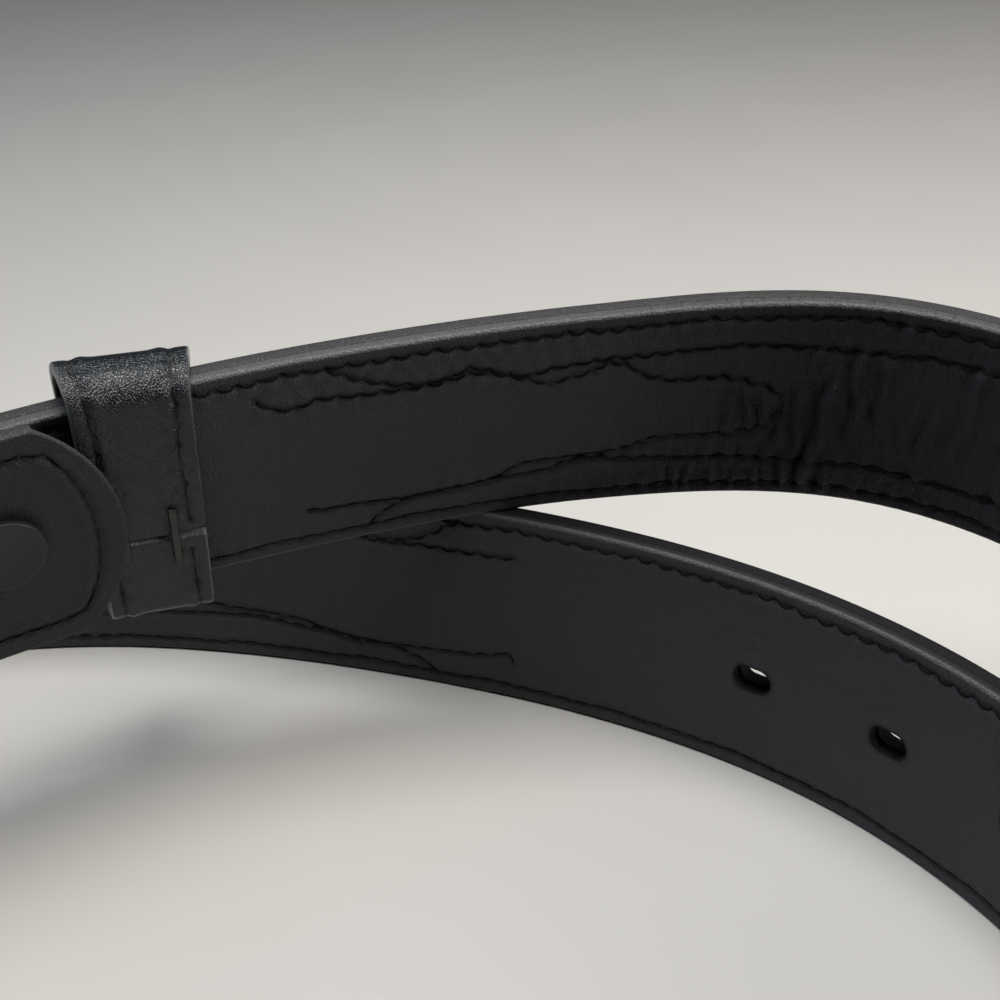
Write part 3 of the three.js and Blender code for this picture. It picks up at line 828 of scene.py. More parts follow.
def make_outer_ply():
    end = -(FOLD_LENGTH + TAB_LENGTH)
    columns = fine_places(end, [Span(end + 1.0, 0.25)] + OUTER_SPANS)
    rows = fine_places(-FACE_HALF, ROW_SPANS)
    thickness = OUTER_PLY + PLY_JOIN
    outer = flat_strip("outer_leather", STRAP_WIDTH, thickness, OUTER_ROUNDING, BACK_ROUNDING, columns, rows)
    size = (HOLE_LENGTH - 2 * HOLE_MARGIN, HOLE_HEIGHT - 2 * HOLE_MARGIN)
    cutters = [oblong_cutter(along, *size) for along in HOLE_ALONGS]
    slot = oblong_cutter(-FOLD_LENGTH / 2, 2 * SLOT_LENGTH + FOLD_LENGTH, SLOT_WIDTH)
    punch(outer, cutters + [slot])
    x, y, z = read_points(outer).T
    relief, near_thread = seam_relief(z, MIDDLE + x, OUTER_SEAMS, np.abs(x), MIDDLE - EDGE_INSET)
    along, across, depth = lay_outer(x, y, z)
    on_tab = z < -FOLD_LENGTH
    relief += 0.6 * soft_waves(z, MIDDLE + x) + hole_relief(z, MIDDLE + x)
    relief += np.where(on_tab, snap_moat(along, across), 0)
    relief += SWELL * np.clip((z - 20.0) / 20.0, 0, 1)
    y = y - PLY_JOIN / 2
    upward = np.clip((y + PLY_JOIN) / OUTER_PLY + 0.5, 0, 1) ** 2
    inside = np.clip(0.55 + (MIDDLE - np.abs(x)) / 1.8, 0, 1)
    thin = thin_at(BELT_LENGTH - z, TIP_ROUNDING) * thin_at(z - end, TIP_ROUNDING)
    along, across, depth = lay_outer(x, y * thin + relief * upward * inside, z)
    write_points(outer, to_model(belt_space(along, across, depth)))
    at_edge = np.clip((np.maximum(np.abs(x) - MIDDLE, end - z) + 0.35) / 0.3, 0, 1)
    # painted shade in the thread's beds and on the hole walls; the cut edges also darken toward the tip
    dark = np.maximum(near_thread * upward, near_hole(z, MIDDLE + x) * (z > 0))
    add_value(outer, "near_thread", np.maximum(dark, 0.8 * at_edge * toward_tip(z)))
    add_value(outer, "cut_edge", at_edge * (0.6 - 0.55 * toward_tip(z)))
    finish_piece(outer, "strap")
    return outer


outer_ply = make_outer_ply()

# %% [markdown]
# The thread itself is a long line of stitches. One stitch is modelled: a small ball, stretched to the length
# between two needle holes and bowed, with both ends dipping into the leather. All others are copies of it,
# joined into one mesh for each ply, because there are many hundreds of them.

# %% One stitch
THREAD_WIDTH = 0.56
THREAD_HEIGHT = 0.12
THREAD_SMOOTH = 70
STITCH_BOW = 0.5
STITCH_DIP = 0.5


def make_stitch():
    """One stitch of unit length along x, bowed to +y, with z up from the leather."""
    lying = (0, math.radians(90), 0)
    bpy.ops.mesh.primitive_uv_sphere_add(segments=6, ring_count=7, radius=0.5, rotation=lying)
    stitch = bpy.context.object
    bpy.ops.object.transform_apply(location=True, rotation=True, scale=True)
    bpy.ops.object.mode_set(mode="EDIT")
    bpy.ops.transform.resize(value=(1.0, THREAD_WIDTH, THREAD_WIDTH))
    bpy.ops.object.mode_set(mode="OBJECT")
    points = read_points(stitch)
    share = np.abs(2 * points[:, 0])
    points[:, 1] += STITCH_BOW * (1 - share ** 2)
    points[:, 2] += THREAD_HEIGHT - STITCH_DIP * share ** 3
    faces = [tuple(face.vertices) for face in stitch.data.polygons]
    bpy.data.objects.remove(stitch)
    return points, faces


STITCH_POINTS, STITCH_FACES = make_stitch()
print("Faces of one stitch:", len(STITCH_FACES))


def sew(name, seams, lay, bow_to):
    """A mesh of all stitches of the seams.

    bow_to gives the side, +1 or -1, that each stitch bows to. With 0 it stays straight, and thin as a blade.
    """
    points, faces = [], []
    for holes in seams:
        for a, b in zip(holes, holes[1:]):
            run = b - a
            length = np.hypot(*run)
            along = run / length
            side = np.array([-along[1], along[0]])
            middle = (a + b) / 2
            uneven = 1 + 0.3 * math.sin(3.7 * middle[0] + middle[1])
            bow = uneven * bow_to(middle) * np.sign(along[0] if abs(along[0]) > 0.2 else 1.0)
            offset = len(STITCH_POINTS) * len(points)
            flat = middle + np.outer(STITCH_POINTS[:, 0] * length * 0.94, along)
            flat = flat + np.outer(STITCH_POINTS[:, 1] * bow, side)
            points.append(np.concatenate([flat, STITCH_POINTS[:, 2:]], axis=1))
            faces += [tuple(v + offset for v in face) for face in STITCH_FACES]
    flat = np.concatenate(points)
    mesh = bpy.data.meshes.new(name)
    mesh.from_pydata(to_model(lay(flat[:, 0], flat[:, 1], flat[:, 2])).tolist(), [], faces)
    thread = bpy.data.objects.new(name, mesh)
    bpy.context.scene.collection.objects.link(thread)
    turn_faces_out(thread)
    finish_piece(thread, angle=THREAD_SMOOTH)
    return thread


# %% Thread of the belt
def thread_on_lining(along, across, height):
    return belt_space(along, across, HALF_TOTAL + height - BED_DEPTH)


def thread_on_outer(strip_along, across, height):
    along, up, depth = lay_outer(across - MIDDLE, OUTER_PLY / 2 + height - BED_DEPTH, strip_along)
    return belt_space(along, up, depth)


def towards_middle(place):
    return 1.0 if place[1] < MIDDLE else -1.0


lining_thread = sew("lining_thread", LINING_SEAMS, thread_on_lining, towards_middle)
outer_thread = sew("outer_thread", OUTER_SEAMS, thread_on_outer, lambda place: 0.0)

# %% [markdown]
# The keeper is a strip of leather, bent into a closed loop round the belt, with its two ends butted together
# on the inside and held by two staples. It is made flat like the plies. The loop's line has a wide bend at
# the top and tight ones at the bottom, and the whole loop sits a little askew, narrower at its lower side.

# %% Keeper sizes and line
KEEPER_ALONG = 73.95
KEEPER_WIDTH = 17.8
KEEPER_TOP_PLAY = 2.3
KEEPER_LOW_PLAY = 2.2
KEEPER_FRONT_ROUND = 4.9
KEEPER_BACK_ROUND = 6.6
KEEPER_LOW_ROUND = 2.6
KEEPER_SKEW = math.tan(math.radians(-7))
KEEPER_TAPER = 0.09
KEEPER_SPLAY = 0.15
SEAM_UP = 12.4
SEAM_GAP = 0.5

KEEPER_BACK_PLAY = 2 * HALF_TOTAL + 2 * FIT_GAP - KEEPER_FRONT_PLAY
KEEPER_FRONT = HALF_TOTAL + KEEPER_FRONT_PLAY + KEEPER_WALL
KEEPER_BACK = -HALF_TOTAL - KEEPER_BACK_PLAY - KEEPER_WALL
KEEPER_TOP = STRAP_WIDTH + KEEPER_TOP_PLAY + KEEPER_WALL
KEEPER_LOW = -KEEPER_LOW_PLAY - KEEPER_WALL


def arc_places(x, y, radius, start):
    angles = start - np.linspace(0, math.pi / 2, 13)
    return np.stack([x + radius * np.cos(angles), y + radius * np.sin(angles)], axis=1)


def keeper_line():
    """The outside of the loop as places across and in depth, from above the seam round to below it."""
    front, wide, tight = KEEPER_FRONT_ROUND, KEEPER_BACK_ROUND, KEEPER_LOW_ROUND
    return np.concatenate([
        [(SEAM_UP + SEAM_GAP / 2, KEEPER_FRONT)],
        arc_places(KEEPER_TOP - front, KEEPER_FRONT - front, front, math.pi / 2),
        arc_places(KEEPER_TOP - wide, KEEPER_BACK + wide, wide, 0.0),
        arc_places(KEEPER_LOW + tight, KEEPER_BACK + tight, tight, -math.pi / 2),
        arc_places(KEEPER_LOW + tight, KEEPER_FRONT - tight, tight, -math.pi),
        [(SEAM_UP - SEAM_GAP / 2, KEEPER_FRONT)],
    ])


KEEPER_LINE = keeper_line()
KEEPER_RUN = np.concatenate([[0], np.cumsum(np.linalg.norm(np.diff(KEEPER_LINE, axis=0), axis=1))])
print("Length round the keeper in mm:", round(KEEPER_RUN[-1], 1))


def keeper_place(x, up, depth):
    """A place beside, above and in front of the belt's middle, as the loop sits: askew, and wider above."""
    rear = (KEEPER_FRONT - depth) / (KEEPER_FRONT - KEEPER_BACK)
    splay = KEEPER_SPLAY * (x + KEEPER_WIDTH / 2) * rear * (0.5 + up / STRAP_WIDTH)
    beside = x * (1 + KEEPER_TAPER * up / STRAP_WIDTH) + splay
    return belt_space(KEEPER_ALONG + beside, MIDDLE + up + KEEPER_SKEW * beside, depth)


def keeper_space(x, y, z):
    """Keeper strip places to the model: x across the strip, y out from its outside, z round the loop."""
    step = 0.05
    at = np.stack([np.interp(z, KEEPER_RUN, KEEPER_LINE[:, k]) for k in (0, 1)], axis=1)
    reach = np.clip(z, step, KEEPER_RUN[-1] - step)
    ahead = np.stack([np.interp(reach + step, KEEPER_RUN, KEEPER_LINE[:, k]) for k in (0, 1)], axis=1)
    behind = np.stack([np.interp(reach - step, KEEPER_RUN, KEEPER_LINE[:, k]) for k in (0, 1)], axis=1)
    run = unit(ahead - behind)
    out = np.stack([-run[:, 1], run[:, 0]], axis=1)
    across, depth = (at + out * y[:, None]).T
    return keeper_place(x, across - MIDDLE, depth)


# %% Keeper
KEEPER_STITCH = 3.8
KEEPER_INSET = 2.5
KEEPER_ROUNDING = 0.5
KEEPER_END_ROUNDING = 0.6
SEAM_WEDGE = 1.0


def make_keeper():
    length = KEEPER_RUN[-1]
    columns = fine_places(0.0, [Span(0.6, 0.15), Span(length - 0.6, 0.45), Span(length, 0.15)])
    half = KEEPER_WIDTH / 2 - KEEPER_ROUNDING - 0.15
    rows = fine_places(-half, [Span(4.2 - half, 0.42), Span(half - 4.2, 0.8), Span(half, 0.42)])
    keeper = flat_strip("keeper_loop", KEEPER_WIDTH, KEEPER_WALL, KEEPER_ROUNDING, 0.3, columns, rows)
    side = KEEPER_WIDTH / 2 - KEEPER_INSET
    lines = [np.array([(2.4, s), (length - 2.4, s)]) for s in (side, -side)]
    seams = [wander(needle_holes(line, KEEPER_STITCH), 1.0 + k) for k, line in enumerate(lines)]
    x, y, z = read_points(keeper).T
    relief, near_thread = seam_relief(z, x, seams, np.abs(x), KEEPER_WIDTH / 2 - KEEPER_INSET)
    relief += 0.5 * soft_waves(z, x)
    upward = np.clip(y / KEEPER_WALL + 0.5, 0, 1) ** 2
    inside = np.clip((KEEPER_WIDTH / 2 - np.abs(x)) / 0.8, 0, 1)
    thin = thin_at(length - z, KEEPER_END_ROUNDING) * thin_at(z, KEEPER_END_ROUNDING)
    through = y * thin - KEEPER_WALL / 2 + relief * upward * inside
    wedge = SEAM_WEDGE * np.clip((x - 2.0) / (KEEPER_WIDTH / 2 - 2.0), 0, 1) ** 1.3
    around = z + wedge * np.clip(1 - z / 7.0, 0, 1)
    write_points(keeper, to_model(keeper_space(x, through, around)))
    # painted shade in the thread's beds
    add_value(keeper, "near_thread", near_thread * upward)
    at_edge = np.maximum(np.abs(x) - KEEPER_WIDTH / 2, np.maximum(-z, z - length))
    pale_part = np.where((x > 0) & (z < 0.3 * length), 0.25, 0.9)
    add_value(keeper, "cut_edge", np.clip((at_edge + 0.35) / 0.3, 0, 1) * pale_part)
    finish_piece(keeper, "keeper")
    return keeper, seams


keeper, keeper_seams = make_keeper()


def thread_on_keeper(around, beside, height):
    return keeper_space(beside, height - BED_DEPTH, around)


keeper_thread = sew("keeper_thread", keeper_seams, thread_on_keeper, lambda place: 0.0)

# %% [markdown]
# Two flat wire staples close the keeper's seam. A staple could be a bent bar, but it is quicker to cut a
# straight block near both ends and to pull the two small faces under its ends down to legs. A bevel then
# rounds all edges, as drawn wire has no sharp ones.

# %% Staples
STAPLE_LENGTH = 11.0
STAPLE_WIDTH = 1.3
STAPLE_LEG = 1.3
STAPLE_LIFT = 0.4
STAPLE_BEVEL = 0.18
HARD_SMOOTH = 30

Staple = namedtuple("Staple", "name node beside above")
STAPLES = [
    Staple("staple_right_wire", "staple_right", 0.21 * KEEPER_WIDTH, 0.0),
    Staple("staple_left_wire", "staple_left", -0.294 * KEEPER_WIDTH + 0.65, 0.12 * STAPLE_LENGTH - 0.1),
]


def make_staple(staple):
    bpy.ops.mesh.primitive_cube_add(size=1)
    wire = bpy.context.object
    wire.name = staple.name
    bpy.ops.object.mode_set(mode="EDIT")
    bpy.ops.transform.resize(value=(STAPLE_WIDTH, STAPLE_LENGTH, STAPLE_THICKNESS))
    for side in (1, -1):
        inner = STAPLE_LENGTH / 2 - STAPLE_THICKNESS
        bpy.ops.mesh.select_all(action="SELECT")
        bpy.ops.mesh.bisect(plane_co=(0, side * inner, 0), plane_no=(0, 1, 0))
        under = -STAPLE_THICKNESS / 2 + 1e-3
        select_points(wire, lambda co: co.z < under and side * co.y > inner - 1e-3)
        bpy.ops.mesh.extrude_region_move(TRANSFORM_OT_translate={"value": (0, 0, -STAPLE_LEG)})
    bpy.ops.object.mode_set(mode="OBJECT")
    soft = {"width": STAPLE_BEVEL, "segments": 3, "limit_method": "ANGLE", "angle_limit": math.radians(40)}
    apply_modifier(wire, "BEVEL", **soft)
    turn_faces_out(wire)
    x, y, z = read_points(wire).T
    up = SEAM_UP - MIDDLE + staple.above + STAPLE_LIFT + y
    depth = KEEPER_FRONT + STAPLE_SIDE + STAPLE_THICKNESS / 2 + z
    write_points(wire, to_model(keeper_place(staple.beside + x, up, depth)))
    finish_piece(wire, staple.node, angle=HARD_SMOOTH)
    return wire


staples = [make_staple(staple) for staple in STAPLES]

# %% [markdown]
# The press stud's cap is a low enamelled disc, pressed into the leather so that a dark ring shows round it.
# It is a cylinder whose rim is rounded by a bevel, with a faint step just inside the rim.

# %% Snap cap
def make_snap():
    bpy.ops.mesh.primitive_cylinder_add(vertices=72, radius=SNAP_RADIUS, depth=SNAP_HEIGHT)
    snap = bpy.context.object
    snap.name = "snap_disc"
    select_points(snap, lambda co: co.z > 0)
    bpy.ops.mesh.inset(thickness=0.75)
    bpy.ops.mesh.inset(thickness=0.2)
    bpy.ops.transform.translate(value=(0, 0, -0.08))
    bpy.ops.object.mode_set(mode="OBJECT")
    apply_modifier(snap, "BEVEL", width=0.32, segments=4, limit_method="ANGLE", angle_limit=math.radians(60))
    points = read_points(snap)
    point, run, up, inward = (row[0] for row in belt_frame(np.array([SNAP_ALONG])))
    base = TAB_DEPTH + OUTER_PLY / 2 + FIT_GAP + SNAP_HEIGHT / 2
    centre = point + up * (MIDDLE + SNAP_RISE) + inward * base
    laid = centre + points[:, :1] * run + points[:, 1:2] * up + points[:, 2:] * inward
    write_points(snap, to_model(laid))
    finish_piece(snap, "snap_cap", angle=HARD_SMOOTH)
    return snap


snap = make_snap()

# %% [markdown]
# The buckle is a plain one of a common kind: a flat frame with rounded corners, open at the fold, a round
# bar and a straight prong. The frame is a plate whose far corners are bevelled, with a smaller plate taken
# out of it, and then a soft bevel on every edge. The bar is pressed into the ends of the frame.

# %% Buckle sizes
BAR_RADIUS = 2.4
FRAME_REACH = 40.0
FRAME_RAIL = 5.0
FRAME_THICKNESS = 4.0
FRAME_PLAY = 1.5
FRAME_CORNER = 6.0
PRONG_WIDTH = 4.0
PRONG_THICKNESS = 3.0
WINDOW_SPARE = 9.0
FRAME_HALF = MIDDLE + FRAME_PLAY + FRAME_RAIL
FRAME_NEAR = FRAME_RAIL / 2


def add_block(name, low, high):
    """A box between two corners, as a new piece at the origin."""
    middle = [(a + b) / 2 for a, b in zip(low, high)]
    bpy.ops.mesh.primitive_cube_add(size=1, location=middle)
    block = bpy.context.object
    block.name = name
    block.scale = [b - a for a, b in zip(low, high)]
    bpy.ops.object.transform_apply(location=True, rotation=True, scale=True)
    return block


def make_frame():
    half = FRAME_THICKNESS / 2
    low = (-FRAME_REACH, -FRAME_HALF, -half)
    frame_plate = add_block("buckle_frame", low, (FRAME_NEAR, FRAME_HALF, half))
    bpy.ops.object.mode_set(mode="EDIT")
    bpy.ops.mesh.select_mode(type="EDGE")
    bpy.ops.mesh.select_all(action="DESELECT")
    bpy.ops.object.mode_set(mode="OBJECT")
    points = frame_plate.data.vertices
    for edge in frame_plate.data.edges:
        a, b = (points[v].co for v in edge.vertices)
        edge.select = abs(a.z - b.z) > half and a.x < 0
    bpy.ops.object.mode_set(mode="EDIT")
    bpy.ops.mesh.bevel(offset=FRAME_CORNER, segments=10)
    bpy.ops.object.mode_set(mode="OBJECT")
    inner = MIDDLE + FRAME_PLAY
    low = (FRAME_RAIL - FRAME_REACH, -inner, -WINDOW_SPARE)
    punch(frame_plate, [add_block("window", low, (FRAME_NEAR + WINDOW_SPARE, inner, WINDOW_SPARE))])
    soft = {"width": 0.8, "segments": 4, "limit_method": "ANGLE", "angle_limit": math.radians(40)}
    apply_modifier(frame_plate, "BEVEL", **soft)
    return frame_plate


def make_bar():
    length = 2 * (MIDDLE + FRAME_PLAY) + FRAME_RAIL
    bpy.ops.mesh.primitive_cylinder_add(vertices=40, radius=BAR_RADIUS, depth=length)
    bpy.ops.object.mode_set(mode="EDIT")
    bpy.ops.transform.rotate(value=math.radians(90), orient_axis="X", center_override=(0, 0, 0))
    bpy.ops.object.mode_set(mode="OBJECT")
    bar = bpy.context.object
    bar.name = "buckle_bar"
    return bar


def make_prong():
    """A straight tongue over the frame. Its root reaches down to the bar, and its end lies on the rail."""
    top = FRAME_THICKNESS / 2 + PRONG_THICKNESS
    low = (1 - FRAME_REACH, -PRONG_WIDTH / 2, 2 - top)
    prong = add_block("buckle_prong", low, (BAR_RADIUS / 2, PRONG_WIDTH / 2, top))
    bpy.ops.object.mode_set(mode="EDIT")
    for cut in (-2 * BAR_RADIUS, FRAME_RAIL - FRAME_REACH):
        bpy.ops.mesh.select_all(action="SELECT")
        bpy.ops.mesh.bisect(plane_co=(cut, 0, 0), plane_no=(1, 0, 0))
    bpy.ops.object.mode_set(mode="OBJECT")
    points = read_points(prong)
    rail = FRAME_THICKNESS / 2
    underside = np.interp(points[:, 0], (-2 * BAR_RADIUS, BAR_RADIUS / 2), (rail, 0))
    points[:, 2] = np.where(points[:, 2] < 0, underside, points[:, 2])
    write_points(prong, points)
    soft = {"width": 0.7, "segments": 4, "limit_method": "ANGLE", "angle_limit": math.radians(25)}
    apply_modifier(prong, "BEVEL", **soft)
    return prong


def lay_buckle(piece):
    """Turns a buckle piece, made with z to the outside, to its place at the fold."""
    points = read_points(piece)
    point, run, up, inward = (row[0] for row in belt_frame(np.array([0.0])))
    centre = point + up * MIDDLE + inward * FOLD_DEPTH
    laid = centre + points[:, :1] * run + points[:, 1:2] * up - points[:, 2:] * inward
    write_points(piece, to_model(laid))
    turn_faces_out(piece)
    finish_piece(piece, "buckle")


buckle_parts = [make_frame(), make_bar(), make_prong()]
for part in buckle_parts:
    lay_buckle(part)

# %% [markdown]
# Every finish is a set of nodes. Colours are given as on a screen and turned to linear light by one function,
# and one small function adds a node with its settings and its links.

# %% Helpers for finishes
def linear(screen_hex):
    parts = [int(screen_hex[i:i + 2], 16) / 255 for i in (1, 3, 5)]
    return tuple(p / 12.92 if p <= 0.04045 else ((p + 0.055) / 1.055) ** 2.4 for p in parts) + (1.0,)


def per_metre(millimetres):
    """The scale of a pattern whose repeat has this size."""
    return 1000.0 / millimetres


def new_finish(name):
    finish = bpy.data.materials.new(name)
    finish.use_nodes = True
    finish.node_tree.nodes.clear()
    return finish


def add_node(finish, kind, outlet, inputs, **settings):
    """Adds a node, sets or links its inputs by name or number, and gives back one of its outlets."""
    added = finish.node_tree.nodes.new(kind)
    for name, value in settings.items():
        setattr(added, name, value)
    for name, value in inputs.items():
        if isinstance(value, bpy.types.NodeSocket):
            finish.node_tree.links.new(value, added.inputs[name])
        else:
            added.inputs[name].default_value = value
    return added.outputs[outlet] if outlet is not None else added


def cover(piece, finish):
    piece.data.materials.clear()
    piece.data.materials.append(finish)
    print(piece.name, "has the finish", finish.name)


# %% [markdown]
# Black leather is never black all over. The dye takes unevenly, the grain breaks up the shine, and the cut
# edges show paler, rougher fibre; on the lining's rounded rim the pale tone is also a painted highlight. The
# thread's beds and the holes get a painted shade, and the folds a cool painted shade. The grain is a cell
# pattern of about half a millimetre with a finer one on top. The lining's grain is pressed in by rollers, so
# it is matt and plain.
# The outer ply and the keeper are dyed in a drum and waxed, so they are smoother, and the keeper shines most.

# %% Leather
# thread_dark is the colour of the painted shade in the thread's beds and holes. edge is the pale fibre of a
# cut edge, and on the lining's rounded rim also a painted highlight.
Leather = namedtuple("Leather", "colour patch thread_dark edge grain grain_depth rough rough_swing specular")


def make_leather(name, hide):
    finish = new_finish(name)
    place = add_node(finish, "ShaderNodeTexCoord", "Object", {})

    # uneven dye: wide patches and a fine speckle
    wide = {"Vector": place, "Scale": per_metre(14.0), "Detail": 4.0, "Roughness": 0.6}
    patch = add_node(finish, "ShaderNodeTexNoise", "Fac", wide)
    small = {"Vector": place, "Scale": per_metre(0.9), "Detail": 3.0, "Roughness": 0.7}
    speck = add_node(finish, "ShaderNodeTexNoise", "Fac", small)
    patch_part = add_node(finish, "ShaderNodeMath", 0, {0: patch, 1: 0.4}, operation="MULTIPLY")
    dye_parts = {0: speck, 1: 0.6, 2: patch_part}
    dye = add_node(finish, "ShaderNodeMath", 0, dye_parts, operation="MULTIPLY_ADD")
    two_tones = {"Factor": dye, "A": linear(hide.colour), "B": linear(hide.patch)}
    base = add_node(finish, "ShaderNodeMix", "Result", two_tones, data_type="RGBA")

    # painted shade: the folds are darkened to a cool near-black, and the beds of the thread and the holes
    # darker still. The same mix darkens the cut edges toward the tip, and the prong's rings a little, as
    # wear.
    folded = add_node(finish, "ShaderNodeAttribute", "Fac", {}, attribute_name="folded")
    fold_shade_share = add_node(finish, "ShaderNodeMath", 0, {0: folded, 1: 0.55}, operation="MULTIPLY")
    fold_shade_tones = {"Factor": fold_shade_share, "A": base, "B": linear("#0a1118")}
    fold_shaded = add_node(finish, "ShaderNodeMix", "Result", fold_shade_tones, data_type="RGBA")
    near = add_node(finish, "ShaderNodeAttribute", "Fac", {}, attribute_name="near_thread")
    bed_tones = {"Factor": near, "A": fold_shaded, "B": linear(hide.thread_dark)}
    darker = add_node(finish, "ShaderNodeMix", "Result", bed_tones, data_type="RGBA")

    # pale fibre on the cut edges, and a painted highlight on the lining's rounded rim
    cut = add_node(finish, "ShaderNodeAttribute", "Fac", {}, attribute_name="cut_edge")
    fuzz = add_node(finish, "ShaderNodeMath", 0, {0: speck, 1: 0.3}, operation="ADD")
    pale_part = add_node(finish, "ShaderNodeMath", 0, {0: cut, 1: fuzz}, operation="MULTIPLY")
    edge_tones = {"Factor": pale_part, "A": darker, "B": linear(hide.edge)}
    colour = add_node(finish, "ShaderNodeMix", "Result", edge_tones, data_type="RGBA")

    # a waxed face, but dull in the beds and holes
    swing = {"Value": speck, "To Min": hide.rough - hide.rough_swing, "To Max": hide.rough + hide.rough_swing}
    waxed = add_node(finish, "ShaderNodeMapRange", "Result", swing)
    rough = add_node(finish, "ShaderNodeMath", 0, {0: waxed, 1: near}, operation="MAXIMUM")

    # wrinkles across the belt, then the grain's cells, then its finest unevenness
    along = add_node(finish, "ShaderNodeAttribute", "Fac", {}, attribute_name="belt_along")
    across = add_node(finish, "ShaderNodeAttribute", "Fac", {}, attribute_name="belt_across")
    long_way = add_node(finish, "ShaderNodeMath", 0, {0: along, 1: 0.8}, operation="MULTIPLY")
    short_way = add_node(finish, "ShaderNodeMath", 0, {0: across, 1: 0.14}, operation="MULTIPLY")
    on_belt = add_node(finish, "ShaderNodeCombineXYZ", "Vector", {"X": long_way, "Y": short_way})
    creased = {"Vector": on_belt, "Scale": 1.0, "Detail": 3.0, "Roughness": 0.6}
    wrinkle = add_node(finish, "ShaderNodeTexNoise", "Fac", creased)
    wrinkle_here = add_node(finish, "ShaderNodeMath", 0, {0: wrinkle, 1: folded}, operation="MULTIPLY")
    wrinkle_relief = {"Height": wrinkle_here, "Strength": 1.0, "Distance": 1.1 * MILLIMETRE}
    wrinkled = add_node(finish, "ShaderNodeBump", "Normal", wrinkle_relief)
    grain = {"Vector": place, "Scale": per_metre(hide.grain)}
    cells = add_node(finish, "ShaderNodeTexVoronoi", "Distance", grain, feature="DISTANCE_TO_EDGE")
    valley = add_node(finish, "ShaderNodeMapRange", "Result", {"Value": cells, "From Max": 0.22})
    cell_relief = {"Height": valley, "Strength": 0.7, "Distance": hide.grain_depth * MILLIMETRE}
    grained = add_node(finish, "ShaderNodeBump", "Normal", {**cell_relief, "Normal": wrinkled})
    fine_relief = {"Height": speck, "Strength": 0.8, "Distance": 0.6 * hide.grain_depth * MILLIMETRE}
    fine = add_node(finish, "ShaderNodeBump", "Normal", {**fine_relief, "Normal": grained})

    looks = {"Base Color": colour, "Roughness": rough, "Normal": fine}
    looks["IOR"] = 1.5
    looks["Specular IOR Level"] = hide.specular
    shader = add_node(finish, "ShaderNodeBsdfPrincipled", "BSDF", looks)
    add_node(finish, "ShaderNodeOutputMaterial", None, {"Surface": shader})
    return finish


LINING_HIDE = Leather(
    colour="#2e3033", patch="#3c3e41", thread_dark="#060708", edge="#646562",
    grain=0.6, grain_depth=0.14, rough=0.6, rough_swing=0.1, specular=0.28,
)
OUTER_HIDE = Leather(
    colour="#1e2023", patch="#292b2e", thread_dark="#020203", edge="#3a3836",
    grain=0.5, grain_depth=0.09, rough=0.5, rough_swing=0.08, specular=0.3,
)
KEEPER_HIDE = Leather(
    colour="#090d11", patch="#12171c", thread_dark="#020203", edge="#8a8c8a",
    grain=0.45, grain_depth=0.075, rough=0.33, rough_swing=0.05, specular=0.5,
)

cover(lining, make_leather("corrected_grain_lining", LINING_HIDE))
cover(outer_ply, make_leather("drum_dyed_cowhide", OUTER_HIDE))
cover(keeper, make_leather("drum_dyed_keeper_hide", KEEPER_HIDE))

# %% [markdown]
# The sewing thread is bonded nylon, dyed black. It is nearly matt, and its twist shows as fine ribs. So each
# stitch reads as a dark dash with a soft edge, darker than the leather it lies in.

# %% Thread
def make_thread_finish():
    finish = new_finish("bonded_nylon_thread")
    place = add_node(finish, "ShaderNodeTexCoord", "Object", {})
    ribs = {"Vector": place, "Scale": per_metre(0.35), "Detail": 2.0}
    twist = add_node(finish, "ShaderNodeTexNoise", "Fac", ribs)
    rib_relief = {"Height": twist, "Strength": 0.6, "Distance": 0.08 * MILLIMETRE}
    ribbed = add_node(finish, "ShaderNodeBump", "Normal", rib_relief)
    tones = {"Factor": twist, "A": linear("#020203"), "B": linear("#0d0e10")}
    colour = add_node(finish, "ShaderNodeMix", "Result", tones, data_type="RGBA")
    looks = {"Base Color": colour, "Roughness": 0.65, "Specular IOR Level": 0.12, "Normal": ribbed}
    shader = add_node(finish, "ShaderNodeBsdfPrincipled", "BSDF", looks)
    add_node(finish, "ShaderNodeOutputMaterial", None, {"Surface": shader})
    return finish


thread_finish = make_thread_finish()
for thread in (lining_thread, outer_thread, keeper_thread):
    cover(thread, thread_finish)

# %% [markdown]
# The metal parts are steel. The staples are blackened wire: their shine is dull and a little blotchy, where
# the black has rubbed off. The buckle is brushed, which draws its reflections out into streaks. The snap's
# cap is sprayed with black enamel, and the spray leaves fine dimples that soften its shine.

